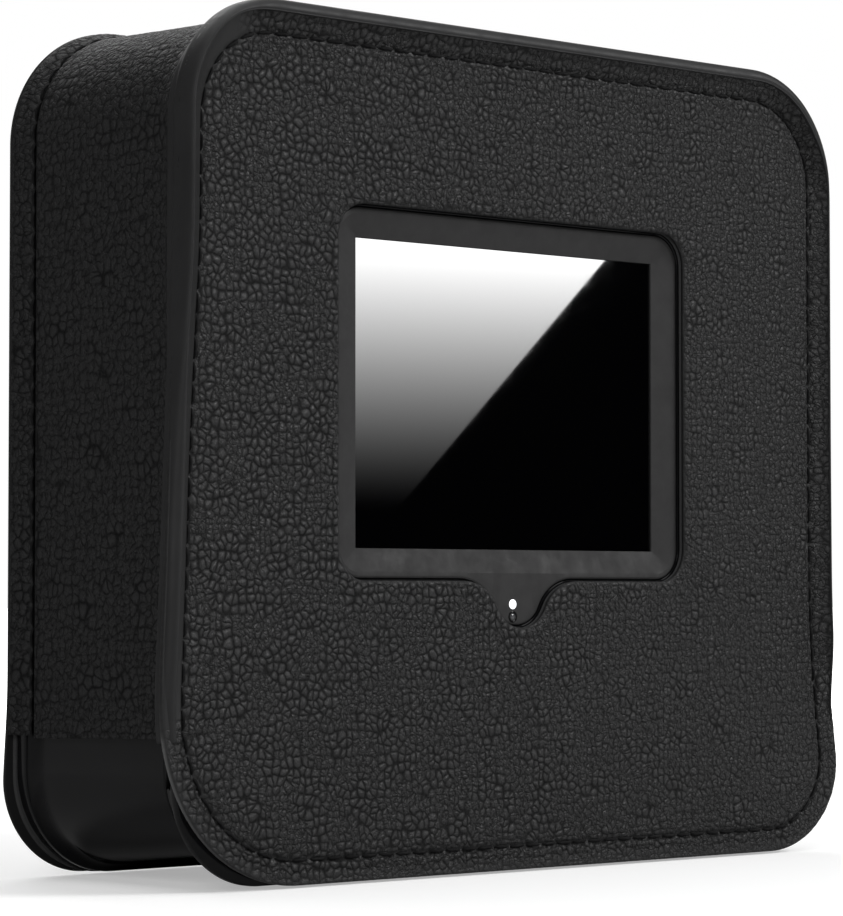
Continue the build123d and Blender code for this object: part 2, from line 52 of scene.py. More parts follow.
# =====================================================================================
# camera, from the viewing angle of the photograph
# =====================================================================================
K = 117.5 / 114.3
YAW, PITCH, ROLL = 0.7167, 0.0409, 0.0
FPX, DIST, OX, OZ = 3357.04, 469.93 * K, -3.777 * K, 56.672 * K
fwd = Vector((math.sin(YAW) * math.cos(PITCH), math.cos(YAW) * math.cos(PITCH), math.sin(PITCH)))
cam_data = bpy.data.cameras.new("Camera")
cam = bpy.data.objects.new("Camera", cam_data)
scene.collection.objects.link(cam)
cam.location = (Vector((OX, 0, OZ)) - fwd * DIST) * MM
right = Vector((math.cos(YAW), -math.sin(YAW), 0))
up = right.cross(fwd)
cam.rotation_mode = "QUATERNION"
rot = Matrix((right, up, -fwd)).transposed()
cam.rotation_quaternion = (rot @ Matrix.Rotation(ROLL, 3, "Z")).to_quaternion()
cam_data.sensor_width = 36.0
cam_data.lens = FPX * 36.0 / 916.0
cam_data.clip_start, cam_data.clip_end = 0.01, 20.0
scene.camera = cam
CAM = np.array(cam.location) / MM

# =====================================================================================
# dimensions, millimetres, in the row frame
# =====================================================================================
def node_box(n):
    lo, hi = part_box(n)
    return [v / MM for v in lo], [v / MM for v in hi]


lo_f, hi_f = node_box("front_housing")
lo_m, hi_m = node_box("mid_housing")
lo_g, hi_g = node_box("touch_glass")
lo_b, hi_b = node_box("display_bezel")
lo_rl, hi_rl = node_box("sleeve_rear_leather")
HW, Z0, Z1 = hi_f[0], lo_f[2], hi_f[2]
YF, YR = lo_f[1], hi_m[1]
RT, RB = 15.0, 14.0
Y_SEAM, FIL_F, Y_HR, Y_RR = -11.8, 3.4, 13.2, 15.9
WF, WR, RO = np.array((1.8, 1.6, 3.9)), np.array((0.5, 1.0, 1.4)), np.array((1.0, 0.0, 0.0))
SX, SZ = (lo_g[0] + hi_g[0]) / 2, (lo_g[2] + hi_g[2]) / 2
BW, BH = hi_b[0] - lo_b[0], 50.4
WW, WH = 56.4, 42.2
TR, TZ, TD = 4.2, 38.5, 9.7
YFIELD, YREAR = -18.2, hi_rl[1]
ZSL = 19.5
PITCH_ST = 3.0


def recess(y):
    if y <= Y_SEAM - FIL_F:
        return np.zeros(3)
    if y >= Y_RR:
        return -RO
    if y < Y_SEAM:
        c = (Y_SEAM - y) / FIL_F
        return math.sqrt(max(0, 1 - c * c)) * WF
    if y <= Y_HR:
        t = (y - Y_SEAM) / (Y_HR - Y_SEAM)
        return WF + (WR - WF) * t
    c = (y - Y_HR) / (Y_RR - Y_HR)
    return math.sqrt(max(0, 1 - c * c)) * (WR + RO) - RO


def smooth(t):
    t = np.clip(t, 0, 1)
    return t * t * (3 - 2 * t)


# =====================================================================================
# outlines
# =====================================================================================
def rounded(x0, x1, z0, z1, rbl, rbr, rtr, rtl, n_arc=40, n_line=60):
    """Closed outline from the middle of the bottom, to the right, up and round. Same index, same place."""
    pts = []

    def line(a, b, n):
        t = np.linspace(0, 1, n, endpoint=False)[:, None]
        pts.append(np.array(a) + (np.array(b) - np.array(a)) * t)

    def arc(cx, cz, r, a0):
        t = np.radians(a0 + np.linspace(0, 90, n_arc, endpoint=False))
        pts.append(np.stack([cx + r * np.cos(t), cz + r * np.sin(t)], 1))

    xm = (x0 + x1) / 2
    line((xm, z0), (x1 - rbr, z0), n_line)
    arc(x1 - rbr, z0 + rbr, rbr, -90)
    line((x1, z0 + rbr), (x1, z1 - rtr), 2 * n_line)
    arc(x1 - rtr, z1 - rtr, rtr, 0)
    line((x1 - rtr, z1), (x0 + rtl, z1), 2 * n_line)
    arc(x0 + rtl, z1 - rtl, rtl, 90)
    line((x0, z1 - rtl), (x0, z0 + rbl), 2 * n_line)
    arc(x0 + rbl, z0 + rbl, rbl, 180)
    line((x0 + rbl, z0), (xm, z0), n_line)
    return np.concatenate(pts)


# the sleeve's front panel isn't quite square: the free lower corners splay out, the left side leans in and forward
_zz = np.linspace(-5, 125, 521)


def _soft(zs, xs, width=4.0):
    v = np.interp(_zz, zs, xs)
    k = np.exp(-np.linspace(-3, 3, int(6 * width / 0.25) | 1) ** 2 / 2)
    k /= k.sum()
    pad = len(k) // 2
    return np.convolve(np.pad(v, pad, mode="edge"), k, mode="valid")


_XL = _soft([8, 15, 19, 24, 32, 43, 54, 65, 76, 85, 100],
            [62.9, 63.0, 63.2, 63.7, 63.35, 62.85, 62.5, 62.1, 61.5, 61.0, 60.9], 2.5)
_XR = _soft([8, 12, 16, 22, 29, 38, 60], [64.7, 64.6, 64.1, 63.2, 62.45, 61.95, 61.85])


def xmap(p):
    f = np.where(p[:, 0] < 0, np.interp(p[:, 1], _zz, _XL), np.interp(p[:, 1], _zz, _XR)) / 62.0
    w_ = smooth(np.abs(p[:, 0]) / 30.0)
    q_ = p.copy()
    q_[:, 0] *= 1 + (f - 1) * w_
    return q_


def lean(p):
    """How far the left side of the front panel leans forward."""
    return -0.4 * smooth((p[:, 1] - 45) / 40) * smooth((-p[:, 0] - 49) / 11.0)


def panel_outline(d):
    """Outer edge of the front leather, moved inwards by d."""
    return xmap(rounded(-62.0 + d, 62.0 - d, 0.25 + d, 117.45 - d, 21.5 - d, 14.0 - d, 16.2 - d, 15.8 - d))


def stitch_outline(g=0.0):
    return xmap(rounded(-58.7 - g, 58.7 + g, 3.6 - g, 112.9 + g, 18.4 + g, 11.2 + g, 12.6 + g, 12.4 + g))


def device_outline(y, grow=0.0):
    ox, ot, ob = recess(y) - grow
    return rounded(-(HW - ox), HW - ox, Z0 + ob, Z1 - ot, RB - (ox + ob) / 2, RB - (ox + ob) / 2,
                   RT - (ox + ot) / 2, RT - (ox + ot) / 2)


def bezel_outline(g):
    x0, x1 = SX - BW / 2 - g, SX + BW / 2 + g
    z0, z1 = SZ - BH / 2 - g, SZ + BH / 2 + g
    r = 4.4 + g
    tr = TR + g
    a = TZ - z0
    rf = (TD * TD + a * a - tr * tr) / (2 * (tr - a))
    cx, cz = SX + TD, z0 - rf
    n = math.hypot(cx - SX, cz - TZ)
    tx, tz = SX + (cx - SX) / n * tr, TZ + (cz - TZ) / n * tr
    a1 = math.atan2(tz - cz, tx - cx)
    ts = np.linspace(a1, math.pi / 2, 60)
    right_s = np.stack([cx + rf * np.cos(ts), cz + rf * np.sin(ts)], 1)
    b0 = math.atan2(tz - TZ, tx - SX)
    tb = np.linspace(-math.pi / 2, b0, 60, endpoint=False)
    tip = np.stack([SX + tr * np.cos(tb), TZ + tr * np.sin(tb)], 1)
    half = [tip, right_s]
    t = np.linspace(0, 1, 60)[1:, None]
    half.append(np.array([[cx, z0]]) + t * np.array([[x1 - r - cx, 0]]))
    t = np.radians(np.linspace(-90, 0, 40))[1:]
    half.append(np.stack([x1 - r + r * np.cos(t), z0 + r + r * np.sin(t)], 1))
    t = np.linspace(0, 1, 120)[1:, None]
    half.append(np.array([[x1, z0 + r]]) + t * np.array([[0, z1 - z0 - 2 * r]]))
    t = np.radians(np.linspace(0, 90, 40))[1:]
    half.append(np.stack([x1 - r + r * np.cos(t), z1 - r + r * np.sin(t)], 1))
    t = np.linspace(0, 1, 80)[1:, None]
    half.append(np.array([[x1 - r, z1]]) + t * np.array([[SX - (x1 - r), 0]]))
    h = np.concatenate(half)
    m = h[::-1].copy()
    m[:, 0] = 2 * SX - m[:, 0]
    o = np.concatenate([h[:-1], m[:-1]])
    # the tab hangs a little to the right of the screen's middle
    u = o[:, 0] - SX
    low = o[:, 1] < z0 + 0.01
    o[:, 0] += np.where(low, (0.5 + 0.11 * u) * (1 - smooth((np.abs(u) - 9.6) / 9.0)), 0)
    return o


C0 = np.array([SX, SZ])


def polar(poly, theta):
    """Points of a star-shaped outline at the given angles round the screen's centre."""
    d = poly - C0
    th = np.arctan2(d[:, 1], d[:, 0])
    k = np.argsort(th)
    th, r = th[k], np.hypot(d[:, 0], d[:, 1])[k]
    # exact on straight runs: interpolate 1/r by angle between the outline's points
    rr = 1.0 / np.interp(theta, np.concatenate([th[-3:] - 2 * np.pi, th, th[:3] + 2 * np.pi]),
                         np.concatenate([1 / r[-3:], 1 / r, 1 / r[:3]]))
    return C0 + rr[:, None] * np.stack([np.cos(theta), np.sin(theta)], 1)


def arclen(p, closed=True):
    q = np.concatenate([p, p[:1]]) if closed else p
    return np.concatenate([[0], np.cumsum(np.hypot(*np.diff(q, axis=0).T))])


# =====================================================================================
# mesh helpers
# =====================================================================================
def make_object(name, verts, quads, extra=(), uv=None, body=None, smooth_shade=True):
    me = bpy.data.meshes.new(name)
    verts = np.asarray(verts, float) * MM
    quads = np.asarray(quads, np.int64).reshape(-1, 4)
    loops = [quads.ravel()] + [np.asarray(f, np.int64) for f in extra]
    totals = np.concatenate([np.full(len(quads), 4), [len(f) for f in extra]]).astype(np.int32)
    lv = np.concatenate(loops).astype(np.int32)
    me.vertices.add(len(verts))
    me.vertices.foreach_set("co", verts.ravel().astype(np.float32))
    me.loops.add(len(lv))
    me.loops.foreach_set("vertex_index", lv)
    me.polygons.add(len(totals))
    starts = np.concatenate([[0], np.cumsum(totals)[:-1]]).astype(np.int32)
    me.polygons.foreach_set("loop_start", starts)
    me.polygons.foreach_set("loop_total", totals)
    if uv is not None:
        layer = me.uv_layers.new(name="grain")
        layer.data.foreach_set("uv", np.asarray(uv, np.float32)[lv].ravel())
    me.update(calc_edges=True)
    me.validate()
    me.polygons.foreach_set("use_smooth", np.full(len(me.polygons), smooth_shade))
    ob = bpy.data.objects.new(name, me)
    scene.collection.objects.link(ob)
    if body:
        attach(ob, body)
    return ob


def ring_quads(n_rings, n, close_rings=False, close_n=True, base=0, flip=False):
    i = np.arange(n if close_n else n - 1)
    j = np.arange(n_rings if close_rings else n_rings - 1)
    J, I = np.meshgrid(j, i, indexing="ij")
    a = J * n + I
    b = J * n + (I + 1) % n
    c = ((J + 1) % n_rings) * n + (I + 1) % n
    d = ((J + 1) % n_rings) * n + I
    q = np.stack([a, b, c, d], -1).reshape(-1, 4) + base
    return q[:, ::-1] if flip else q


def fix_normals(ob):
    import bmesh
    bm = bmesh.new()
    bm.from_mesh(ob.data)
    bmesh.ops.recalc_face_normals(bm, faces=bm.faces)
    bm.to_mesh(ob.data)
    bm.free()
    ob.data.update()


def sharp_by_angle(ob, degrees):
    """Marks edges sharper than this, so flat faces stay flat and round ones stay round."""
    import bmesh
    bm = bmesh.new()
    bm.from_mesh(ob.data)
    lim = math.radians(degrees)
    for e in bm.edges:
        if len(e.link_faces) == 2 and e.calc_face_angle(0) > lim:
            e.smooth = False
    bm.to_mesh(ob.data)
    bm.free()


def catmull(pts, per, closed=True):
    p = np.asarray(pts, float)
    n = len(p)
    out = []
    rng = range(n) if closed else range(n - 1)
    for i in rng:
        p0, p1, p2, p3 = (p[(i + k) % n] if closed else p[min(max(i + k, 0), n - 1)] for k in (-1, 0, 1, 2))
        for t in np.linspace(0, 1, per, endpoint=False):
            out.append(0.5 * ((2 * p1) + (-p0 + p2) * t + (2 * p0 - 5 * p1 + 4 * p2 - p3) * t * t
                              + (-p0 + 3 * p1 - 3 * p2 + p3) * t ** 3))
    if not closed:
        out.append(p[-1])
    return np.array(out)


# =====================================================================================
# node-tree helpers
# =====================================================================================
class Tree:
    def __init__(self, nt):
        self.nt = nt

    def new(self, kind, **props):
        n = self.nt.nodes.new(kind)
        for k, v in props.items():
            setattr(n, k, v)
        return n

    def put(self, sock, value):
        if isinstance(value, bpy.types.NodeSocket):
            self.nt.links.new(value, sock)
        else:
            sock.default_value = value

    def attribute(self, name):
        n = self.new("ShaderNodeAttribute", attribute_type="GEOMETRY", attribute_name=name)
        return n.outputs["Fac"]

    def math(self, op, a, b=None, c=None, clamp=False):
        n = self.new("ShaderNodeMath", operation=op, use_clamp=clamp)
        self.put(n.inputs[0], a)
        if b is not None:
            self.put(n.inputs[1], b)
        if c is not None:
            self.put(n.inputs[2], c)
        return n.outputs[0]

    def vmath(self, op, a, b=None, scale=None):
        n = self.new("ShaderNodeVectorMath", operation=op)
        self.put(n.inputs[0], a)
        if b is not None:
            self.put(n.inputs[1], b)
        if scale is not None:
            self.put(n.inputs["Scale"], scale)
        return n.outputs[0]

    def noise(self, vec, scale, detail=2.0, rough=0.5, dims="3D", out="Factor"):
        n = self.new("ShaderNodeTexNoise", noise_dimensions=dims)
        self.put(n.inputs["Vector"], vec)
        n.inputs["Scale"].default_value = scale
        n.inputs["Detail"].default_value = detail
        n.inputs["Roughness"].default_value = rough
        names = [o.name for o in n.outputs]
        return n.outputs[0 if out == "Factor" else 1] if "Color" in names else n.outputs[out]

    def voronoi(self, vec, scale, feature="DISTANCE_TO_EDGE", dims="2D", randomness=1.0, smoothness=0.1):
        n = self.new("ShaderNodeTexVoronoi", voronoi_dimensions=dims, feature=feature)
        self.put(n.inputs["Vector"], vec)
        n.inputs["Scale"].default_value = scale
        n.inputs["Randomness"].default_value = randomness
        if feature == "SMOOTH_F1":
            n.inputs["Smoothness"].default_value = smoothness
        return n.outputs["Distance"]

    def ramp(self, v, lo, hi, to0=0.0, to1=1.0, kind="SMOOTHSTEP"):
        n = self.new("ShaderNodeMapRange", interpolation_type=kind)
        self.put(n.inputs[0], v)
        n.inputs[1].default_value, n.inputs[2].default_value = lo, hi
        n.inputs[3].default_value, n.inputs[4].default_value = to0, to1
        return n.outputs[0]

    def mix(self, fac, a, b):
        n = self.new("ShaderNodeMix", data_type="RGBA")
        self.put(n.inputs["Factor"], fac)
        self.put([s for s in n.inputs if s.name == "A" and s.type == "RGBA"][0], a)
        self.put([s for s in n.inputs if s.name == "B" and s.type == "RGBA"][0], b)
        return [s for s in n.outputs if s.type == "RGBA"][0]


def grain_height(t, vec, size=1.0):
    """Height from 0 to 1 of pebbled leather grain; vec in millimetres. Used alike in materials and in geometry."""
    w = t.vmath("SUBTRACT", t.noise(vec, 0.34 / size, 2.0, 0.5, "2D", "Color"), (0.5, 0.5, 0.5))
    v = t.vmath("ADD", vec, t.vmath("SCALE", w, scale=1.2 * size))
    d1 = t.math("DIVIDE", t.voronoi(v, 0.88 / size, "SMOOTH_F1", randomness=0.80, smoothness=0.08), 0.72, clamp=True)
    centre = t.math("SUBTRACT", 1.0, t.math("MULTIPLY", d1, d1))
    e1 = t.math("SUBTRACT", 1.0, t.math("DIVIDE", t.voronoi(v, 0.88 / size, randomness=0.80), 0.36, clamp=True))
    dome = t.math("SUBTRACT", 1.0, t.math("MULTIPLY", e1, e1))
    big = t.math("MULTIPLY", dome, t.math("MULTIPLY_ADD", centre, 0.85, 0.15))
    w2 = t.vmath("SUBTRACT", t.noise(vec, 0.9 / size, 1.0, 0.5, "2D", "Color"), (0.5, 0.5, 0.5))
    v2 = t.vmath("ADD", vec, t.vmath("SCALE", w2, scale=0.7 * size))
    e2 = t.math("SUBTRACT", 1.0, t.math("DIVIDE", t.voronoi(v2, 1.55 / size, randomness=0.9), 0.32, clamp=True))
    dome2 = t.math("SUBTRACT", 1.0, t.math("MULTIPLY", e2, e2))
    sep = t.new("ShaderNodeSeparateXYZ")
    t.put(sep.inputs[0], vec)
    spread = t.math("MULTIPLY_ADD", t.ramp(sep.outputs[0], -62.0, 62.0, -0.09, 0.16, "LINEAR"), 1.0, t.noise(vec, 0.22 / size, 1.0, 0.5, "2D"))
    patch = t.ramp(spread, 0.36, 0.66, 0.10, 0.66)
    lo_ = t.math("MULTIPLY", t.math("SUBTRACT", 1.0, patch), big)
    return t.math("MULTIPLY_ADD", t.math("MULTIPLY", dome2, t.math("MULTIPLY_ADD", big, 0.4, 0.6)), patch, lo_)


def wrinkle_height(t, vec, h):
    """Fine creases that run between the pebbles and fade out over their tops."""
    w = t.vmath("SUBTRACT", t.noise(vec, 1.6, 1.0, 0.5, "2D", "Color"), (0.5, 0.5, 0.5))
    v = t.vmath("ADD", vec, t.vmath("SCALE", w, scale=0.7))
    n = t.noise(v, 3.6, 2.0, 0.65, "2D")
    ridge = t.math("ABSOLUTE", t.math("SUBTRACT", n, 0.5))
    ridge = t.ramp(ridge, 0.0, 0.12)
    fade = t.ramp(h, 0.55, 1.0, 1.0, 0.35)
    return t.math("MULTIPLY", ridge, fade)


def principled(name):
    m = bpy.data.materials.new(name)
    m.use_nodes = True
    nt = m.node_tree
    nt.nodes.clear()
    t = Tree(nt)
    out = t.new("ShaderNodeOutputMaterial")
    b = t.new("ShaderNodeBsdfPrincipled")
    nt.links.new(b.outputs[0], out.inputs[0])
    return m, t, b


def grain_uv(t):
    n = t.new("ShaderNodeUVMap", uv_map="grain")
    return n.outputs[0]


def obj_mm(t):
    n = t.new("ShaderNodeTexCoord")
    return t.vmath("SCALE", n.outputs["Object"], scale=1000.0)


def bump(t, height, mm, normal=None):
    n = t.new("ShaderNodeBump")
    n.inputs["Strength"].default_value = 1.0
    n.inputs["Distance"].default_value = mm * MM
    t.put(n.inputs["Height"], height)
    if normal is not None:
        t.put(n.inputs["Normal"], normal)
    return n.outputs[0]


# top and low are the base colours of the pebble crowns and of the creases; the darker low in the creases is painted
# shade.
def leather_material(name, top=(0.0150, 0.0150, 0.0155, 1), low=(0.0030, 0.0030, 0.0031, 1), size=1.0, depth=0.26,
                     rough=(0.62, 0.44), spec=0.5):
    m, t, b = principled(name)
    uv = grain_uv(t)
    gw = t.attribute("gw")
    h0 = grain_height(t, uv, size)
    h = t.math("MULTIPLY_ADD", t.math("SUBTRACT", h0, 0.62), gw, 0.62)
    wr = wrinkle_height(t, uv, h0)
    fine = t.noise(uv, 7.0, 3.0, 0.6, "2D")
    detail = t.math("ADD", t.math("MULTIPLY", wr, 0.16), t.math("MULTIPLY", fine, 0.10))
    h2 = t.math("MULTIPLY_ADD", detail, gw, h)
    # Base colour runs from low in the creases to top on the pebble crowns: the darker creases are painted shade,
    # standing in for the occlusion there.
    col = t.mix(t.ramp(h2, 0.10, 0.95), low, top)
    cloud = t.noise(uv, 0.05, 3.0, 0.6, "2D")
    col2 = t.mix(t.ramp(cloud, 0.3, 0.7, 0.0, 0.25), col, (0.006, 0.006, 0.0065, 1))
    col3 = t.mix(t.attribute("cut"), col2, (0.10, 0.10, 0.10, 1))
    t.put(b.inputs["Base Color"], col3)
    t.put(b.inputs["Roughness"], t.ramp(h, 0.1, 0.9, rough[0], rough[1], "LINEAR"))
    t.put(b.inputs["Specular IOR Level"], t.ramp(h2, 0.10, 0.75, spec * 0.25, spec, "LINEAR"))
    t.put(b.inputs["Normal"], bump(t, h2, depth))
    return m


def plastic_material(name, color, rough=0.3, grain=0.004, scale=6.0, coat=0.0, spec=0.5, vary=0.25, bevel=0.0,
                     metallic=0.0):
    m, t, b = principled(name)
    p = obj_mm(t)
    n1 = t.noise(p, 0.09, 3.0, 0.6)
    n2 = t.noise(p, scale, 2.0, 0.6)
    c = np.array(color[:3])
    col = t.mix(t.ramp(n1, 0.3, 0.7), (*(c * (1 - vary)), 1), (*(c * (1 + vary)), 1))
    t.put(b.inputs["Base Color"], col)
    t.put(b.inputs["Roughness"], t.ramp(t.noise(p, 0.35, 4.0, 0.65), 0.25, 0.75, rough * 0.8, rough * 1.2, "LINEAR"))
    b.inputs["Specular IOR Level"].default_value = spec
    b.inputs["Metallic"].default_value = metallic
    if coat:
        b.inputs["Coat Weight"].default_value = coat
        b.inputs["Coat Roughness"].default_value = 0.04
    nrm = None
    if bevel:
        bv = t.new("ShaderNodeBevel", samples=4)
        bv.inputs["Radius"].default_value = bevel * MM
        nrm = bv.outputs[0]
    if grain:
        nrm = bump(t, n2, grain, nrm)
    if nrm is not None:
        t.put(b.inputs["Normal"], nrm)
    return m


def set_mat(ob, mat):
    ob.data.materials.clear()
    ob.data.materials.append(mat)


def displace_grain(ob, depth, size=1.0):
    """Pushes the mesh in and out by the same grain the material shows, weighted by the vertex attribute gw."""
    ng = bpy.data.node_groups.new("grain_" + ob.name, "GeometryNodeTree")
    ng.interface.new_socket("Geometry", in_out="INPUT", socket_type="NodeSocketGeometry")
    ng.interface.new_socket("Geometry", in_out="OUTPUT", socket_type="NodeSocketGeometry")
    t = Tree(ng)
    gi, go = t.new("NodeGroupInput"), t.new("NodeGroupOutput")
    uv = t.new("GeometryNodeInputNamedAttribute", data_type="FLOAT_VECTOR")
    uv.inputs["Name"].default_value = "grain"
    gw = t.new("GeometryNodeInputNamedAttribute", data_type="FLOAT")
    gw.inputs["Name"].default_value = "gw"
    h = grain_height(t, uv.outputs[0], size)
    amt = t.math("MULTIPLY", t.math("MULTIPLY", t.math("SUBTRACT", h, 0.75), depth * MM), gw.outputs[0])
    nrm = t.new("GeometryNodeInputNormal")
    off = t.vmath("SCALE", nrm.outputs[0], scale=amt)
    sp = t.new("GeometryNodeSetPosition")
    ng.links.new(gi.outputs[0], sp.inputs["Geometry"])
    t.put(sp.inputs["Offset"], off)
    ng.links.new(sp.outputs[0], go.inputs[0])
    md = ob.modifiers.new("grain", "NODES")
    md.node_group = ng
    bake_modifiers(ob)
    bpy.data.node_groups.remove(ng)


def bake_modifiers(ob):
    dg = bpy.context.evaluated_depsgraph_get()
    dg.update()
    me = bpy.data.meshes.new_from_object(ob.evaluated_get(dg), preserve_all_data_layers=True, depsgraph=dg)
    ob.modifiers.clear()
    old = ob.data
    ob.data = me
    me.name = ob.name
    bpy.data.meshes.remove(old)


def set_attr(ob, name, values):
    a = ob.data.attributes.new(name, "FLOAT", "POINT")
    a.data.foreach_set("value", np.asarray(values, np.float32))


# =====================================================================================
# materials
# =====================================================================================
M_LEATHER = leather_material("leather_field")
# Darker copy of the field leather for the side band, the rear margin and the rear panel: its darker colours are painted
# shade for faces that the lamps reach less; its larger grain is its own.
M_LEATHER_SIDE_SHADED = leather_material("leather_side_shaded", top=(0.0110, 0.0110, 0.0115, 1), low=(0.0024, 0.0024, 0.0026, 1), depth=0.26, size=1.35,
                                 rough=(0.68, 0.54), spec=0.35)
M_RIM = plastic_material("leather_smooth_edge", (0.019, 0.019, 0.0195), rough=0.55, grain=0.012, scale=2.6, spec=0.25, vary=0.12)
M_GLOSS = plastic_material("gloss_black", (0.006, 0.006, 0.0065), rough=0.13, grain=0.0, spec=0.14, vary=0.1)
M_BEZEL = plastic_material("bezel_satin", (0.022, 0.0215, 0.022), rough=0.70, grain=0.002, scale=9.0, spec=0.40, vary=0.06)
M_THREAD = plastic_material("thread", (0.0035, 0.0035, 0.0038), rough=0.8, grain=0.03, scale=7.0, spec=0.2, vary=0.3)
M_LINING = plastic_material("lining_microfibre", (0.045, 0.045, 0.046), rough=0.95, grain=0.05, scale=5.0, vary=0.08)
M_BOARD = plastic_material("board_edge", (0.03, 0.028, 0.026), rough=0.85, grain=0.03, scale=4.0, vary=0.3)


def glass_material():
    m, t, b = principled("screen_glass")
    p = obj_mm(t)
    t.put(b.inputs["Base Color"], t.mix(t.noise(p, 0.05), (0.0006, 0.0006, 0.0008, 1), (0.001, 0.001, 0.0012, 1)))
    t.put(b.inputs["Roughness"], t.ramp(t.noise(p, 0.4, 4.0), 0.3, 0.8, 0.012, 0.022, "LINEAR"))
    b.inputs["IOR"].default_value = 1.6
    b.inputs["Specular IOR Level"].default_value = 1.0
    return m


M_GLASS = glass_material()

# =====================================================================================
# front leather: dished lip outside the seam, soft edge round the window
# =====================================================================================
N = 1070
outer = panel_outline(0.0)
L = arclen(outer)
s_u = np.linspace(0, L[-1], N, endpoint=False)
q = np.concatenate([outer, outer[:1]])
on = np.stack([np.interp(s_u, L, q[:, 0]), np.interp(s_u, L, q[:, 1])], 1)
theta = np.arctan2(on[:, 1] - C0[1], on[:, 0] - C0[0])


def lip_weight(p):
    """1 where the margin curves forward to the rim strip, 0 along the bottom and the lower corners."""
    left = smooth((-p[:, 0] - 35.0) / 20.0) * (1 - smooth((p[:, 1] - 45.0) / 38.0))
    return smooth((p[:, 1] - 18.5) / 15.0) * (1 - 0.62 * left)


def strip_width(p):
    """Share of the rim strip's full width: the upper left side and the right side show less of it."""
    return (1 - 0.6 * smooth((-p[:, 0] - 45.0) / 12.0) * smooth((p[:, 1] - 48.0) / 30.0)
            - 0.62 * smooth((p[:, 0] - 50.0) / 11.0) * (1 - smooth((p[:, 1] - 98.0) / 14.0)))


def outside(p):
    """0 on the left margin outside the seam above the free corner, where the leather is smooth; 1 elsewhere."""
    return 1 - smooth((-p[:, 0] - 50.0) / 5.0) * smooth((p[:, 1] - 19.0) / 3.0)


stitch0 = polar(stitch_outline(), theta)
sl = arclen(stitch0)
s_st = sl[:-1]
n_stitch = int(round(sl[-1] / PITCH_ST))
pitch = sl[-1] / n_stitch
phase = (s_st / pitch) % 1.0
hole = np.exp(-((np.minimum(phase, 1 - phase) * pitch) / 0.42) ** 2)

rings, ys, gws, cuts = [], [], [], []


def add(p, y, gw, cut=0.0):
    rings.append(p)
    cuts.append(np.broadcast_to(cut, len(p)).copy())
    ys.append(np.broadcast_to(y, len(p)).copy())
    gws.append(np.broadcast_to(gw, len(p)).copy())


y_back = -17.22
for g, y, gw in ((0.30, -17.3, 0), (0.27, -17.55, 0.1), (0.33, -17.78, 0.3), (0.50, -17.98, 0.6), (0.78, -18.12, 0.9),
                 (1.15, -18.18, 1), (1.55, YFIELD, 1), (1.95, YFIELD, 1)):
    add(polar(bezel_outline(g), theta), y, gw)
a = polar(bezel_outline(2.3), theta)
b = polar(stitch_outline(-2.0), theta)
n_mid = 52
for k in range(n_mid + 1):
    t = k / n_mid
    add(a + (b - a) * t, YFIELD, 1)
for g in np.arange(-1.7, -0.01, 0.24):
    p = polar(stitch_outline(g), theta)
    dip = 0.34 * np.exp(-(g / 0.5) ** 2) + 0.25 * hole * np.exp(-(g / 0.4) ** 2)
    add(p, YFIELD + dip, 1 - 0.6 * math.exp(-(g / 0.6) ** 2))
add(stitch0, YFIELD + 0.34 + 0.25 * hole, 0.3)
kk = on + (polar(panel_outline(1.7), theta) - on) * strip_width(on)[:, None]
out_w = outside(on)
for t in (0.07, 0.15, 0.24, 0.34, 0.44, 0.54, 0.64, 0.74, 0.83, 0.91, 0.97, 1.0):
    p = stitch0 + (kk - stitch0) * t
    w = lip_weight(p)
    dist = np.hypot(*(p - stitch0).T)
    dip = 0.34 * np.exp(-(dist / 0.5) ** 2) + 0.25 * hole * np.exp(-(dist / 0.4) ** 2)
    add(p, YFIELD - 1.62 * w * t ** 1.55 + dip, (1 - 0.35 * w * t) * out_w)
for t in (0.25, 0.5, 0.75, 0.9):
    p = kk + (on - kk) * t
    w = lip_weight(p)
    add(p, YFIELD - w * 1.62 * (1 - t) ** 2 * 0.9 + w * 0.5 * t, (0.9 - 0.6 * t) * out_w)
w = lip_weight(on)
free = 1 - smooth((on[:, 1] - 19.0) / 2.0)
for d, y in ((0.06, 0.10), (0.0, 0.30), (0.0, 0.62), (0.04, 0.90)):
    add(polar(panel_outline(d), theta), YFIELD + y + w * 0.35 * (y < 0.8), 0.1, smooth((y - 0.15) / 0.3) * free)
add(polar(panel_outline(0.25), theta), y_back, 0, free)
n_r = len(rings)
V = np.stack([np.concatenate([r[:, 0] for r in rings]), np.concatenate(ys), np.concatenate([r[:, 1] for r in rings])], 1)
uv = V[:, [0, 2]]
V[:, 1] += lean(V[:, [0, 2]])
leather = make_object("front_leather", V, ring_quads(n_r, N, close_rings=True), uv=uv, body="sleeve")
fix_normals(leather)
set_attr(leather, "gw", np.concatenate(gws))
set_attr(leather, "cut", np.concatenate(cuts))
displace_grain(leather, 0.20)
set_mat(leather, M_LEATHER)
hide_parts("sleeve_front_leather")

# stiffener board with its lining, behind the leather
th_b = theta[::4]
rings_b = [polar(bezel_outline(0.38), th_b), polar(bezel_outline(0.38), th_b), polar(panel_outline(0.45), th_b),
           polar(panel_outline(0.35), th_b), polar(panel_outline(0.45), th_b)]
y_b = [-16.74, -17.2, -17.2, -16.95, -16.74]
V = np.concatenate([np.stack([r[:, 0], np.full(len(r), y), r[:, 1]], 1) for r, y in zip(rings_b, y_b)])
V[:, 1] += lean(V[:, [0, 2]])
front_board = make_object("front_board_lining", V, ring_quads(5, len(th_b), close_rings=True), body="sleeve")
fix_normals(front_board)
sharp_by_angle(front_board, 30)
set_mat(front_board, M_LINING)
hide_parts("sleeve_front_board")


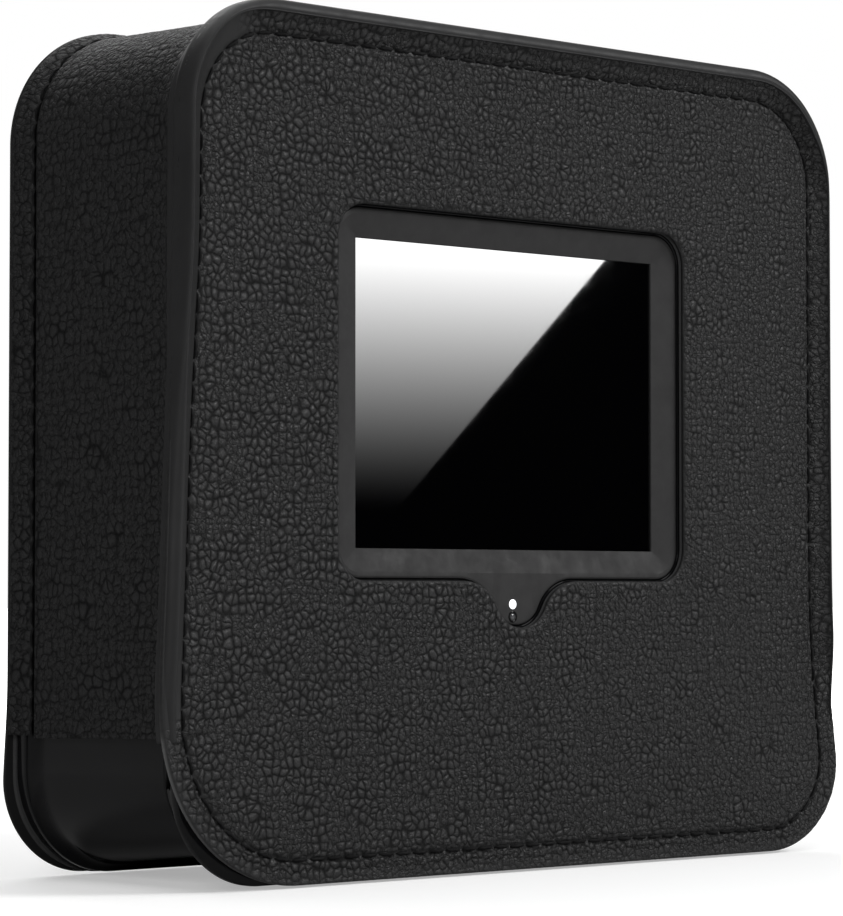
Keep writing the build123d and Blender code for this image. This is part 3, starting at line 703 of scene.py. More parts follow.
# =====================================================================================
# stitches
# =====================================================================================
def thread_stitches(name, centre, tangent, normal, length, radius=0.22, sink=0.36, proud=0.04, slant=0.0):
    """One twisted-thread stitch per centre: it dives into the leather at both ends."""
    n_u, n_t = 10, 13
    u = np.linspace(0, 2 * np.pi, n_u, endpoint=False)
    tt = np.linspace(-1, 1, n_t)
    verts, faces, ends = [], [], []
    for i, (c, tg, nm) in enumerate(zip(centre, tangent, normal)):
        side = np.cross(tg, nm)
        jit = RNG.normal(0, 1, 4)
        ln = length[i] * (1 + 0.02 * jit[0])
        ang = slant + 0.03 * jit[1]
        d = tg * math.cos(ang) + side * math.sin(ang)
        sd = np.cross(d, nm)
        base = len(verts) and sum(len(x) for x in verts)
        rows = []
        for t in tt:
            h = (proud + 0.02 * jit[2]) - (sink + proud) * abs(t) ** 3.2
            r = radius * (1.0 - 0.35 * abs(t) ** 4)
            tw = 1 + 0.16 * np.cos(2 * u - 7.5 * t + jit[3])
            p = c + d * (t * ln / 2) + nm * h
            ring = p + (np.cos(u)[:, None] * nm * 0.85 + np.sin(u)[:, None] * sd) * (r * tw)[:, None]
            rows.append(ring)
        verts.append(np.concatenate(rows))
        faces.append(ring_quads(n_t, n_u, base=base))
        ends.append(list(range(base, base + n_u)))
        ends.append(list(range(base + (n_t - 1) * n_u, base + n_t * n_u)))
    ob = make_object(name, np.concatenate(verts), np.concatenate(faces), extra=ends, body="sleeve")
    fix_normals(ob)
    set_mat(ob, M_THREAD)
    return ob


def along(poly3, lens, s):
    return np.stack([np.interp(s, lens, poly3[:, k]) for k in range(3)], 1)


st3 = np.stack([stitch0[:, 0], YFIELD + 0.22 + lean(stitch0), stitch0[:, 1]], 1)
st3 = np.concatenate([st3, st3[:1]])
mid_s = (np.arange(n_stitch) + 0.5) * pitch
c = along(st3, sl, mid_s)
tg = along(st3, sl, np.minimum(mid_s + 0.4, sl[-1])) - along(st3, sl, np.maximum(mid_s - 0.4, 0))
tg /= np.linalg.norm(tg, axis=1)[:, None]
st_front = thread_stitches("front_stitches", c, tg, np.tile([0, -1.0, 0], (len(c), 1)), np.full(len(c), pitch * 0.86))
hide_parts("front_stitching")


# =====================================================================================
# sweeps along the U of the sleeve: left side, top, right side
# =====================================================================================
def u_indices(outline_y, step):
    """Fractional indices along an outline from the right lower end, over the top, to the left lower end."""
    z = outline_y[:, 1]
    n = len(z)
    r0 = next(i for i in range(n) if outline_y[i, 0] > 30 and z[i] >= ZSL)
    r0 = r0 - 1 + (ZSL - z[r0 - 1]) / (z[r0] - z[r0 - 1])
    l0 = next(i for i in range(n - 1, 0, -1) if outline_y[i, 0] < -30 and z[i] >= ZSL)
    l0 = l0 + (z[l0] - ZSL) / (z[l0] - z[l0 + 1])
    idx = np.linspace(r0, l0, 4000)
    p = at_index(outline_y, idx)
    ln = arclen(p, closed=False)
    m = int(round(ln[-1] / step))
    s = np.linspace(0, ln[-1], m + 1)
    return np.interp(s, ln, idx), s


def at_index(outline, idx):
    i = np.arange(len(outline))
    return np.stack([np.interp(idx, i, outline[:, 0]), np.interp(idx, i, outline[:, 1])], 1)


# smooth rim strip
idx, s = u_indices(panel_outline(0.0), 0.7)
base_p = at_index(panel_outline(0.0), idx)
wl = lip_weight(base_p)
ly = lean(base_p)
outl = {}


def pan(d):
    k = round(d, 3)
    if k not in outl:
        outl[k] = base_p + (at_index(panel_outline(k), idx) - base_p) * strip_width(base_p)[:, None]
    return outl[k]


ycr = -18.22 - 1.66 * wl + ly
under = at_index(device_outline(-14.6, 1.25), idx)
tuck = at_index(device_outline(-14.6, 0.45), idx)
ctrl = []
for d, dy in ((1.95, 0.22), (1.72, -0.05), (1.34, -0.10), (0.90, 0.06), (0.45, 0.42), (0.16, 0.95), (0.03, 1.55)):
    ctrl.append((pan(d), ycr + dy))
for f_, dd in ((0.62, 0.0), (0.97, 0.10), (1.12, 0.55)):
    y_end = -16.35 + 0.75 * ly
    y_st = ycr + 1.55
    ctrl.append((pan(dd), y_st + (y_end - y_st) * f_))
mid_p = pan(1.35) * 0.6 + under * 0.4
ctrl.append((mid_p, np.full(len(idx), -15.6) + 0.3 * ly))
ctrl.append((under, np.full(len(idx), -14.75)))
ctrl.append((under * 0.35 + tuck * 0.65, np.full(len(idx), -14.5)))
ctrl.append((tuck, np.full(len(idx), -14.7)))
ctrl.append((pan(1.6), np.full(len(idx), -15.5) + 0.6 * ly))
ctrl.append((pan(1.72), np.full(len(idx), -16.5) + ly))
ctrl.append((pan(1.95), np.full(len(idx), -17.1) + ly))
ctrl3 = np.stack([np.stack([p[:, 0], y, p[:, 1]], 1) for p, y in ctrl], 1)   # stations, section, xyz
sm = np.stack([catmull(c3, 4) for c3 in ctrl3])
ns = sm.shape[1]
V = sm.reshape(-1, 3)
Q = ring_quads(len(idx), ns, close_n=True)
rim = make_object("front_rim_strip", V, Q, extra=[list(range(ns)), list(range((len(idx) - 1) * ns, len(idx) * ns))],
                  body="sleeve")
fix_normals(rim)
set_mat(rim, M_RIM)
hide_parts("sleeve_front_rim")


# side band
def band_ring(y, g):
    return device_outline(y, g)


yy = np.concatenate([[-14.55], np.arange(-14.2, 14.35, 0.375), [14.5]])
idx_b, s_b = u_indices(band_ring(0.0, 1.35), 0.40)
rows, gw_rows, uv_rows = [], [], []
for y in yy:
    y_eff = min(max(y, -14.3), 14.4)
    edge = 1 - min(1, min(abs(y + 14.55), abs(14.5 - y)) / 0.6)
    p = at_index(band_ring(y_eff, 1.35 - 0.45 * edge ** 2), idx_b)
    wave = 0.10 * np.sin(s_b / 17.0 + y / 9.0) * (1 - edge)
    ctr = np.array([0, 58.0])
    d = p - ctr
    d /= np.hypot(*d.T)[:, None]
    p = p + d * wave[:, None]
    rows.append(np.stack([p[:, 0], np.full(len(p), y), p[:, 1]], 1))
    gw_rows.append(np.full(len(p), 1 - edge))
    uv_rows.append(np.stack([s_b + 200, np.full(len(p), y)], 1))
for y, g in ((14.5, 0.45), (14.35, 0.2), (0.0, 0.16), (-11.8, 0.16), (-14.3, 0.2), (-14.55, 0.45)):
    p = at_index(band_ring(min(max(y, -14.3), 14.4), g), idx_b)
    rows.append(np.stack([p[:, 0], np.full(len(p), y), p[:, 1]], 1))
    gw_rows.append(np.zeros(len(p)))
    uv_rows.append(np.stack([s_b + 200, np.full(len(p), y)], 1))
nb, nr = len(idx_b), len(rows)
V = np.stack(rows, 1).reshape(-1, 3)       # stations x section
UVb = np.stack(uv_rows, 1).reshape(-1, 2)
Q = ring_quads(nb, nr, close_n=True)
band = make_object("side_band", V, Q, extra=[list(range(nr)), list(range((nb - 1) * nr, nb * nr))], uv=UVb, body="sleeve")
fix_normals(band)
set_attr(band, "gw", np.stack(gw_rows, 1).ravel())
displace_grain(band, 0.10, 1.35)
set_mat(band, M_LEATHER_SIDE_SHADED)
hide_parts("sleeve_side_band")


# rear margin: flares out from the seam to the rear panel's edge
_XB = _soft([8, 13, 19, 24, 30], [62.95, 62.9, 62.55, 62.25, 62.2], 2.0)


def rear_outline(d):
    p = rounded(-62.2 + d, 62.2 - d, 0.25 + d, 117.45 - d, 13.6 - d, 13.6 - d, 17.4 - d, 17.4 - d)
    p[:, 0] *= np.interp(p[:, 1], _zz, _XB) / 62.2
    return p


sec = [(1.45, 15.02, 0), (1.22, 15.08, .2), (1.02, 15.35, .8), (0.86, 15.7, 1), (0.72, 16.1, 1), (0.58, 16.5, 1), (0.45, 16.9, 1),
       (0.32, 17.3, 1), (0.20, 17.7, 1), (0.10, 18.1, 1), (0.05, 18.45, .7), (0.10, 18.75, .3), (0.35, 18.92, 0),
       (0.8, 18.9, 0), (0.78, 18.0, 0), (0.78, 16.3, 0), (1.25, 15.75, 0), (1.75, 15.35, 0), (1.85, 15.1, 0)]
idx_r, s_r = u_indices(rear_outline(1.0), 0.42)
rows, gw_rows, uv_rows = [], [], []
for d, y, gwv in sec:
    p = at_index(rear_outline(d), idx_r)
    rows.append(np.stack([p[:, 0], np.full(len(p), y), p[:, 1]], 1))
    gw_rows.append(np.full(len(p), gwv))
    uv_rows.append(np.stack([s_r + 200, np.full(len(p), y)], 1))
nb, nr = len(idx_r), len(rows)
margin = make_object("rear_margin", np.stack(rows, 1).reshape(-1, 3), ring_quads(nb, nr),
                     extra=[list(range(nr)), list(range((nb - 1) * nr, nb * nr))],
                     uv=np.stack(uv_rows, 1).reshape(-1, 2), body="sleeve")
fix_normals(margin)
set_attr(margin, "gw", np.stack(gw_rows, 1).ravel())
displace_grain(margin, 0.13)
set_mat(margin, M_LEATHER_SIDE_SHADED)

# stitches between band and margin
p = at_index(device_outline(14.4, 1.30), idx_b)
p3 = np.stack([p[:, 0], np.full(len(p), 14.78), p[:, 1]], 1)
ln = arclen(p, closed=False)
k = int(round(ln[-1] / PITCH_ST))
pt = ln[-1] / k
ms = (np.arange(k) + 0.5) * pt
c = along(p3, ln, ms)
tg = along(p3, ln, ms + 0.4) - along(p3, ln, ms - 0.4)
tg /= np.linalg.norm(tg, axis=1)[:, None]
nm = np.cross(tg, [0, 1.0, 0])
nm *= np.sign((nm * (c - np.array([0, 0, 58.0]))).sum(1))[:, None]
st_rear = thread_stitches("rear_stitches", c, tg, nm, np.full(len(c), pt * 0.86))
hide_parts("rear_stitching")


# =====================================================================================
# rear leather panel with its two windows
# =====================================================================================
def squircle_grid(outline_fn, nx, nz):
    """Square grid of nx by nz points, each running from -1 to 1."""
    u = np.linspace(-1, 1, nx)
    v = np.linspace(-1, 1, nz)
    U, Vv = np.meshgrid(u, v, indexing="xy")
    return U, Vv


x0, x1, z0r, z1r, rc = -62.2, 62.2, 0.25, 117.4, 15.5
IN = 1.15
nx, nz = 296, 282
gx = np.linspace(x0 + IN, x1 - IN, nx)
gz = np.linspace(z0r + IN, z1r - IN, nz)
GX, GZ = np.meshgrid(gx, gz)
for sx in (-1, 1):
    for sz in (-1, 1):
        rr_ = 17.2 if sz > 0 else 13.6
        r = rr_ - IN
        cx = (x1 - rr_) * sx
        cz = (z1r - rr_) if sz > 0 else (z0r + rr_)
        a_ = (GX - cx) * sx / r
        b_ = (GZ - cz) * sz / r
        msk = (a_ > 0) & (b_ > 0)
        m = np.maximum(a_, b_)
        h = np.hypot(a_, b_)
        h[h == 0] = 1
        GX = np.where(msk, cx + sx * r * m * a_ / h, GX)
        GZ = np.where(msk, cz + sz * r * m * b_ / h, GZ)
GX = GX * np.interp(GZ, _zz, _XB) / 62.2
grid_i = np.arange(nx * nz).reshape(nz, nx)
quads = np.stack([grid_i[:-1, :-1], grid_i[:-1, 1:], grid_i[1:, 1:], grid_i[1:, :-1]], -1).reshape(-1, 4)
border = np.concatenate([grid_i[0, :-1], grid_i[:-1, -1], grid_i[-1, :0:-1], grid_i[:0:-1, 0]])
face_v = np.stack([GX.ravel(), np.full(nx * nz, YREAR - 0.07), GZ.ravel()], 1)
bv = face_v[border]
cc = np.array([0, 58.9])
nrm2 = np.roll(bv[:, [0, 2]], -1, 0) - np.roll(bv[:, [0, 2]], 1, 0)
nrm2 = np.stack([nrm2[:, 1], -nrm2[:, 0]], 1)
nrm2 /= np.hypot(*nrm2.T)[:, None]
nrm2 *= np.sign((nrm2 * (bv[:, [0, 2]] - cc)).sum(1))[:, None]
verts = [face_v]
prev = border
allq = [quads]
tot = len(face_v)
for g, y in ((0.30, YREAR - 0.10), (0.60, YREAR - 0.19), (0.85, YREAR - 0.34), (1.0, YREAR - 0.52), (1.08, YREAR - 0.68),
             (1.0, YREAR - 0.80), (0.75, YREAR - 0.86)):
    rr = bv.copy()
    rr[:, [0, 2]] += nrm2 * g
    rr[:, 1] = y
    cur = np.arange(tot, tot + len(border))
    tot += len(border)
    verts.append(rr)
    allq.append(np.stack([prev, np.roll(prev, -1), np.roll(cur, -1), cur], -1))
    prev = cur
V = np.concatenate(verts)
rear = make_object("rear_leather", V, np.concatenate(allq), extra=[list(prev)], uv=V[:, [0, 2]] + np.array([400.0, 0]),
                   body="sleeve")
fix_normals(rear)
gwv = np.zeros(len(V))
gwv[:nx * nz] = 1


def rr_dist(px, pz, x0, x1, z0, z1, r):
    qx = np.abs(px - (x0 + x1) / 2) - ((x1 - x0) / 2 - r)
    qz = np.abs(pz - (z0 + z1) / 2) - ((z1 - z0) / 2 - r)
    return np.hypot(np.maximum(qx, 0), np.maximum(qz, 0)) + np.minimum(np.maximum(qx, qz), 0) - r


PORT = (-44.5, 44.5, 8.4, 25.4, 4.0)
VENT = (-26.0, 26.0, 81.5, 104.0, 4.0)
for wdw in (PORT, VENT):
    gwv *= np.clip((rr_dist(V[:, 0], V[:, 2], *wdw) - 0.2) / 0.8, 0, 1)
set_attr(rear, "gw", gwv)
displace_grain(rear, 0.13)


def cutter(name, x0, x1, z0, z1, r, ya, yb, n=14):
    o = rounded(x0, x1, z0, z1, r, r, r, r, n_arc=n, n_line=1)
    keep_ = [0]
    m_ = len(o)
    Vc = np.concatenate([np.stack([o[:, 0], np.full(m_, y), o[:, 1]], 1) for y in (ya, yb)])
    ob = make_object(name, Vc, ring_quads(2, m_), extra=[list(range(m_))[::-1], list(range(m_, 2 * m_))])
    fix_normals(ob)
    return ob


for wdw in (PORT, VENT):
    cu = cutter("cut", *wdw, 15.0, 25.0)
    md = rear.modifiers.new("b", "BOOLEAN")
    md.operation, md.object, md.solver = "DIFFERENCE", cu, "EXACT"
    bake_modifiers(rear)
    bpy.data.objects.remove(cu)
set_mat(rear, M_LEATHER_SIDE_SHADED)
rear.data.polygons.foreach_set("use_smooth", np.full(len(rear.data.polygons), True))
sharp_by_angle(rear, 50)
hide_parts("sleeve_rear_leather")


# =====================================================================================
# glossy housings
# =====================================================================================
def loop_rings(name, spec, n_theta, body, extra_angles=(), sharp=30):
    th = np.sort(np.concatenate([np.linspace(-np.pi, np.pi, n_theta, endpoint=False), np.asarray(extra_angles, float)]))
    rr = []
    for outline, y in spec:
        p = polar(outline, th)
        rr.append(np.stack([p[:, 0], np.full(len(p), float(y)), p[:, 1]], 1))
    V = np.concatenate(rr)
    ob = make_object(name, V, ring_quads(len(rr), len(th), close_rings=True), body=body)
    fix_normals(ob)
    sharp_by_angle(ob, sharp)
    return ob


def box_outline(x0, x1, z0, z1, r):
    return rounded(x0, x1, z0, z1, r, r, r, r)


def seat(o):
    return rounded(-(HW - o), HW - o, Z0 + o, Z1 - o, RB - o, RB - o, RT - o, RT - o)


cav = box_outline(-55.4, 55.4, 6.3, 110.6, 9.5)
spec = [(bezel_outline(0.1), YF + 1.8), (bezel_outline(0.1), YF + 0.12), (bezel_outline(0.22), YF),
        (device_outline(YF, -0.5), YF), (device_outline(YF, -0.18), YF + 0.07), (device_outline(YF, -0.03), YF + 0.25),
        (device_outline(YF, 0), YF + 0.5), (device_outline(YF, 0), YF + 1.1), (device_outline(YF, -0.06), YF + 1.28),
        (device_outline(YF, -0.2), YF + 1.38)]
for deg in range(12, 91, 6):
    y = Y_SEAM - FIL_F * math.cos(math.radians(deg))
    spec.append((device_outline(y), y))
spec = spec[:-1] + [(device_outline(Y_SEAM - 0.25), Y_SEAM - 0.25), (device_outline(Y_SEAM - 0.25, -0.10), Y_SEAM - 0.06),
                    (device_outline(Y_SEAM, -0.5), Y_SEAM - 0.04), (cav, Y_SEAM - 0.04), (cav, YF + 1.8)]
front_shell = loop_rings("front_shell", spec, 1000, "device", sharp=25)
set_mat(front_shell, M_GLOSS)
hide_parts("front_housing")

spec = [(device_outline(Y_SEAM, -0.5), Y_SEAM + 0.04), (device_outline(Y_SEAM, -0.10), Y_SEAM + 0.06),
        (device_outline(Y_SEAM + 0.25), Y_SEAM + 0.25)]
for y in np.linspace(Y_SEAM + 1, Y_HR, 12):
    spec.append((device_outline(y), y))
for deg in range(8, 83, 8):
    y = Y_HR + (Y_RR - Y_HR) * math.sin(math.radians(deg))
    spec.append((device_outline(y), y))
spec += [(device_outline(Y_RR, -0.1), Y_RR - 0.02), (device_outline(20, -0.02), Y_RR + 0.12), (device_outline(20), Y_RR + 0.35),
         (device_outline(20), YR - 0.45), (device_outline(20, -0.08), YR - 0.2), (device_outline(20, -0.3), YR - 0.03),
         (device_outline(20, -0.5), YR), (seat(3.9), YR), (seat(4.0), YR - 0.12),
         (seat(4.0), 16.5), (cav, 16.5), (cav, Y_SEAM + 0.04)]
mid_shell = loop_rings("mid_shell", spec, 1000, "device", sharp=25)
set_mat(mid_shell, M_GLOSS)
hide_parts("mid_housing")

# bezel: a picture frame that slopes down to the glass
corner = [math.atan2(sz * WH / 2, sx * WW / 2) for sx in (-1, 1) for sz in (-1, 1)]
y_gl = lo_g[1]


def sharp_rect(w, h, r=0.12):
    return box_outline(SX - w / 2, SX + w / 2, SZ - h / 2, SZ + h / 2, r)


spec = [(sharp_rect(WW, WH), y_gl - 0.02), (sharp_rect(WW, WH), y_gl - 0.22), (sharp_rect(WW + 0.08, WH + 0.08), y_gl - 0.30)]
for t in (0.06, 0.5, 0.93, 1.0):
    w_, h_ = WW + 0.08 + (BW - 1.7 - WW) * t, WH + 0.08 + (BH - 1.7 - WH) * t
    spec.append((sharp_rect(w_, h_, 0.12 + 3.4 * t ** 2), y_gl - 0.30 + (YF + 0.02 - (y_gl - 0.30)) * (t if t < 1 else 1.0)))
spec += [(bezel_outline(-0.35), YF), (bezel_outline(-0.12), YF + 0.06), (bezel_outline(-0.02), YF + 0.22),
         (bezel_outline(0.0), YF + 0.5), (bezel_outline(0.0), YF + 2.4), (sharp_rect(WW + 3, WH + 3, 1.0), YF + 2.4),
         (sharp_rect(WW + 3, WH + 3, 1.0), y_gl - 0.02)]
bez = loop_rings("bezel_frame", spec, 1200, "device", extra_angles=corner, sharp=14)
set_mat(bez, M_BEZEL)
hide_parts("display_bezel")


def turned(name, cx, cz, profile, body, n=72):
    """Piece turned about an axis along y; profile is a run of (radius, y) from the front middle to the back middle."""
    a_ = np.linspace(0, 2 * np.pi, n, endpoint=False)
    vs = [np.stack([cx + r * np.cos(a_), np.full(n, y), cz + r * np.sin(a_)], 1) for r, y in profile]
    ob = make_object(name, np.concatenate(vs), ring_quads(len(vs), n),
                     extra=[list(range(n)), list(range((len(vs) - 1) * n, len(vs) * n))], body=body)
    fix_normals(ob)
    sharp_by_angle(ob, 40)
    return ob


LED_X, LED_Z, SEN_Z = SX - 0.2, 37.26, 35.52
led = turned("status_led_dome", LED_X, LED_Z, [(0.02, YF - 0.10), (0.30, YF - 0.09), (0.52, YF - 0.06), (0.66, YF - 0.02), (0.73, YF + 0.05),
                                               (0.74, YF + 0.6), (0.02, YF + 0.6)], "device")
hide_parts("status_led_lens")
ring_ = turned("sensor_ring", LED_X, SEN_Z, [(0.50, YF + 0.06), (0.56, YF - 0.05), (0.64, YF - 0.10), (0.72, YF - 0.10), (0.80, YF - 0.05),
                                             (0.85, YF + 0.03), (0.86, YF + 0.5), (0.50, YF + 0.5)], "device")
set_mat(ring_, M_GLOSS)
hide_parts("light_sensor_bezel")
eye = turned("sensor_eye", LED_X, SEN_Z, [(0.02, YF - 0.07), (0.20, YF - 0.055), (0.36, YF - 0.015), (0.47, YF + 0.05), (0.49, YF + 0.5),
                                          (0.02, YF + 0.5)], "device")
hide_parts("light_sensor_lens")

for nme in ("touch_glass",):
    ob = frame["nodes"][nme]
    set_mat(ob, M_GLASS)

# =====================================================================================
# carried-over CAD nodes: a procedural material each
# =====================================================================================
SLOT_MATS = {
    "matte_black": plastic_material("rear_cover_plastic", (0.022, 0.022, 0.023), rough=0.5, grain=0.03, scale=3.2, bevel=0.25),
    "bezel_black": M_BEZEL,
    "display_stack": plastic_material("display_stack", (0.01, 0.01, 0.012), rough=0.3),
    "diffuser_white": plastic_material("diffuser", (0.8, 0.8, 0.78), rough=0.6, vary=0.03),
    "frame_steel": plastic_material("frame_steel", (0.55, 0.55, 0.55), rough=0.32, metallic=1.0, vary=0.08, grain=0.003),
    "led_white": None,
    "sensor_glass": plastic_material("sensor_glass", (0.06, 0.06, 0.065), rough=0.22, grain=0.0, coat=1.0),
    "pcb": plastic_material("solder_mask", (0.012, 0.075, 0.04), rough=0.32, grain=0.02, scale=1.6, vary=0.3),
    "connector_black": plastic_material("connector_plastic", (0.016, 0.016, 0.017), rough=0.42, grain=0.01, scale=4.0, bevel=0.15),
    "shield_steel": plastic_material("tinned_steel", (0.62, 0.61, 0.59), rough=0.30, metallic=1.0, vary=0.1, grain=0.006, scale=2.5, bevel=0.12),
    "heatsink_aluminium": plastic_material("heatsink_alu", (0.6, 0.61, 0.62), rough=0.35, metallic=1.0, vary=0.08, grain=0.005),
    "chip_black": plastic_material("chip_epoxy", (0.02, 0.02, 0.021), rough=0.55, grain=0.015, scale=5.0, bevel=0.1),
    "battery_wrap": plastic_material("battery_film", (0.05, 0.07, 0.12), rough=0.3, grain=0.03, scale=0.8, vary=0.1),
    "foam_grey": plastic_material("foam", (0.09, 0.09, 0.09), rough=0.95, grain=0.12, scale=3.0),
    "lead_black": plastic_material("lead_sheath", (0.015, 0.015, 0.015), rough=0.45, grain=0.01),
    "contact_gold": plastic_material("gold_plate", (0.78, 0.55, 0.22), rough=0.22, metallic=1.0, vary=0.06, grain=0.002),
    "tray_black": plastic_material("tray_plastic", (0.014, 0.014, 0.015), rough=0.25, grain=0.006, scale=5.0, bevel=0.2),
    "card_white": plastic_material("card_plastic", (0.75, 0.75, 0.73), rough=0.4, grain=0.008, vary=0.04, bevel=0.1),
    "button_black": plastic_material("button_plastic", (0.018, 0.018, 0.019), rough=0.3, grain=0.006, scale=5.0, bevel=0.3),
    "plunger_white": plastic_material("plunger", (0.7, 0.7, 0.68), rough=0.4, vary=0.03),
    "antenna_film": plastic_material("antenna_copper", (0.72, 0.38, 0.2), rough=0.3, metallic=1.0, vary=0.1),
    "screw_steel": plastic_material("black_zinc", (0.08, 0.08, 0.085), rough=0.35, metallic=1.0, grain=0.004),
    "foot_rubber": plastic_material("foot_rubber", (0.02, 0.02, 0.02), rough=0.8, grain=0.04, scale=3.0, bevel=0.3),
    "stiffener_board": M_LINING,
}
m, t, b = principled("led_lens")
p = obj_mm(t)
b.inputs["Base Color"].default_value = (0.85, 0.87, 0.9, 1)
t.put(b.inputs["Roughness"], t.ramp(t.noise(p, 3.0), 0.3, 0.7, 0.25, 0.4, "LINEAR"))
t.put(b.inputs["Emission Color"], t.mix(t.noise(p, 1.5), (0.93, 0.96, 1, 1), (1, 1, 1, 1)))
b.inputs["Emission Strength"].default_value = 1.2
SLOT_MATS["led_white"] = m
set_mat(led, m)
set_mat(eye, SLOT_MATS["sensor_glass"])

slots = {s["node"]: s["material_slot"] for s in frame["record"]["subparts"]}
for nme, ob in frame["nodes"].items():
    if ob.hide_render or nme == "touch_glass":
        continue
    set_mat(ob, SLOT_MATS[slots[nme]])

# =====================================================================================
# stage: floor, world, lights, and the card that the glass mirrors
# =====================================================================================
def emission(name, build):
    m = bpy.data.materials.new(name)
    m.use_nodes = True
    m.node_tree.nodes.clear()
    t = Tree(m.node_tree)
    out = t.new("ShaderNodeOutputMaterial")
    e = t.new("ShaderNodeEmission")
    m.node_tree.links.new(e.outputs[0], out.inputs[0])
    build(t, e)
    return m


fl = bpy.data.meshes.new("floor")
S = 8.0
fl.from_pydata([(-S, -S, 0), (S, -S, 0), (S, S, 0), (-S, S, 0)], [], [(0, 1, 2, 3)])
floor = bpy.data.objects.new("floor", fl)
scene.collection.objects.link(floor)
fm = bpy.data.materials.new("floor_paint")
fm.use_nodes = True
fm.node_tree.nodes.clear()
ft = Tree(fm.node_tree)
fo = ft.new("ShaderNodeOutputMaterial")
fd = ft.new("ShaderNodeBsdfDiffuse")
fe = ft.new("ShaderNodeEmission")
ftc = ft.new("ShaderNodeTexCoord")
far_ = ft.new("ShaderNodeVectorMath", operation="LENGTH")
ft.put(far_.inputs[0], ftc.outputs["Object"])
glow_near = ft.math("MULTIPLY", ft.ramp(far_.outputs["Value"], 0.16, 0.6, 0.0, 1.0), 1.1)
flp = ft.new("ShaderNodeLightPath")
# one plain pale colour all over: its shade is the lamps' own. Further out it lifts to the white of a studio sweep.
ft.put(fe.inputs["Strength"], ft.math("ADD", glow_near, 0.38))
fv = ft.new("ShaderNodeBsdfDiffuse")
fv.inputs["Color"].default_value = (0.70, 0.70, 0.70, 1)
fa = ft.new("ShaderNodeAddShader")
fm.node_tree.links.new(fv.outputs[0], fa.inputs[0])
fm.node_tree.links.new(fe.outputs[0], fa.inputs[1])
fd.inputs["Color"].default_value = (0.5, 0.5, 0.5, 1)
fs = ft.new("ShaderNodeMixShader")
fm.node_tree.links.new(flp.outputs["Is Camera Ray"], fs.inputs[0])
fm.node_tree.links.new(fd.outputs[0], fs.inputs[1])
fm.node_tree.links.new(fa.outputs[0], fs.inputs[2])
fm.node_tree.links.new(fs.outputs[0], fo.inputs[0])
set_mat(floor, fm)
floor.location.z = -0.0001

world = bpy.data.worlds.new("studio")
scene.world = world
world.use_nodes = True
wt = Tree(world.node_tree)
world.node_tree.nodes.clear()
wo = wt.new("ShaderNodeOutputWorld")
bg1 = wt.new("ShaderNodeBackground")
bg1.inputs[0].default_value = (1, 1, 1, 1)
bg1.inputs[1].default_value = 1.0
bg2 = wt.new("ShaderNodeBackground")
bg2.inputs[0].default_value = (1, 1, 1, 1)
bg2.inputs[1].default_value = 0.045
lp = wt.new("ShaderNodeLightPath")
mx = wt.new("ShaderNodeMixShader")
world.node_tree.links.new(lp.outputs["Is Camera Ray"], mx.inputs[0])
world.node_tree.links.new(bg2.outputs[0], mx.inputs[1])
world.node_tree.links.new(bg1.outputs[0], mx.inputs[2])
world.node_tree.links.new(mx.outputs[0], wo.inputs[0])


def area(name, loc, target, size, power, size_y=None):
    d = bpy.data.lights.new(name, "AREA")
    d.shape = "RECTANGLE" if size_y else "SQUARE"
    d.size = size
    if size_y:
        d.size_y = size_y
    d.energy = power
    o = bpy.data.objects.new(name, d)
    scene.collection.objects.link(o)
    o.location = loc
    o.rotation_mode = "QUATERNION"
    o.rotation_quaternion = (Vector(target) - Vector(loc)).to_track_quat("-Z", "Y")
    return o


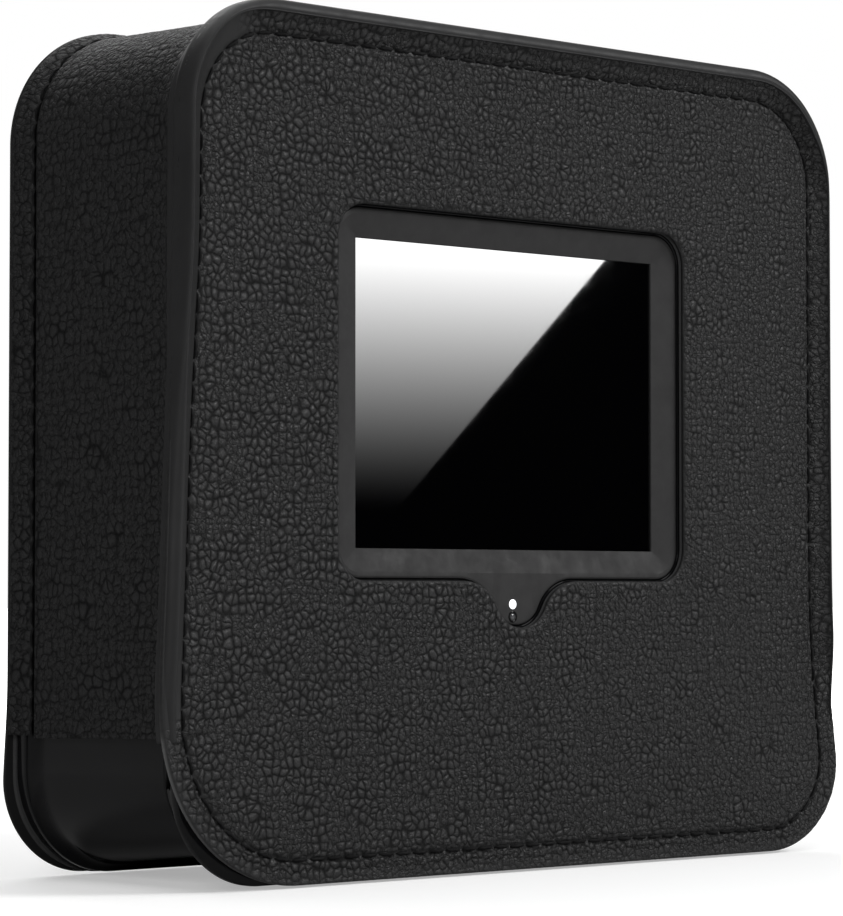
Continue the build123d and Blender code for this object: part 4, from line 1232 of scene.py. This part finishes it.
area("key", (0.75, -0.87, 0.80), (0, 0, 0.06), 0.45, 11.5)
area("top", (0.0, 0.1, 1.5), (0, 0, 0.0), 1.7, 16.0)
area("left_front", (-1.1, -0.80, 0.60), (0, 0, 0.06), 0.5, 6.0)
area("back_fill", (0.5, 1.0, 0.7), (0, 0, 0.05), 0.8, 6.0)

# glare card: placed where the glass mirrors the left and top of the screen's window into the camera
YG = y_gl


def ray(px, py):
    dx = (px - 421.5) / FPX
    dy = -(py - 458.0) / FPX
    d = np.array(fwd) + np.array(right) * dx + np.array(up) * dy
    return d / np.linalg.norm(d)


def mirror_point(px, py, far):
    d = ray(px, py)
    hit = CAM + d * ((YG - CAM[1]) / d[1])
    return hit + np.array([d[0], -d[1], d[2]]) * far


FAR = 700.0
pts = [mirror_point(*q, FAR) for q in ((330, 215), (642.6, 215), (393.3, 514), (330, 514))]
gc_ = bpy.data.meshes.new("glare_card")
gc_.from_pydata([tuple(v * MM) for v in pts], [], [(0, 1, 2, 3)])
card = bpy.data.objects.new("glare_card", gc_)
scene.collection.objects.link(card)
z_top, z_bot = pts[0][2], pts[3][2]
pts2 = [mirror_point(*q, FAR + 6) for q in ((250, 150), (760, 150), (760, 640), (250, 640))]
gd_ = bpy.data.meshes.new("dark_card")
gd_.from_pydata([tuple(v * MM) for v in pts2], [], [(0, 1, 2, 3)])
dark = bpy.data.objects.new("dark_card", gd_)
scene.collection.objects.link(dark)



def glare(t, e):
    p = obj_mm(t)
    sp = t.new("ShaderNodeSeparateXYZ")
    t.put(sp.inputs[0], p)
    f = t.ramp(sp.outputs[2], z_bot, z_top - (z_top - z_bot) * 0.09, 0.0, 1.0, "LINEAR")
    f2 = t.math("POWER", f, 2.2)
    e.inputs[0].default_value = (1, 1, 1, 1)
    t.put(e.inputs[1], t.math("MULTIPLY", f2, 10.5))


def unlit(t, e):
    e.inputs[0].default_value = (0, 0, 0, 1)
    e.inputs[1].default_value = 0.0


set_mat(card, emission("glare_card_light", glare))
set_mat(dark, emission("dark_card_cloth", unlit))
for o_ in (card, dark):
    for a_ in ("visible_camera", "visible_diffuse", "visible_transmission", "visible_volume_scatter", "visible_shadow"):
        setattr(o_, a_, False)

scene.view_settings.view_transform = "Standard"
scene.view_settings.look = "None"
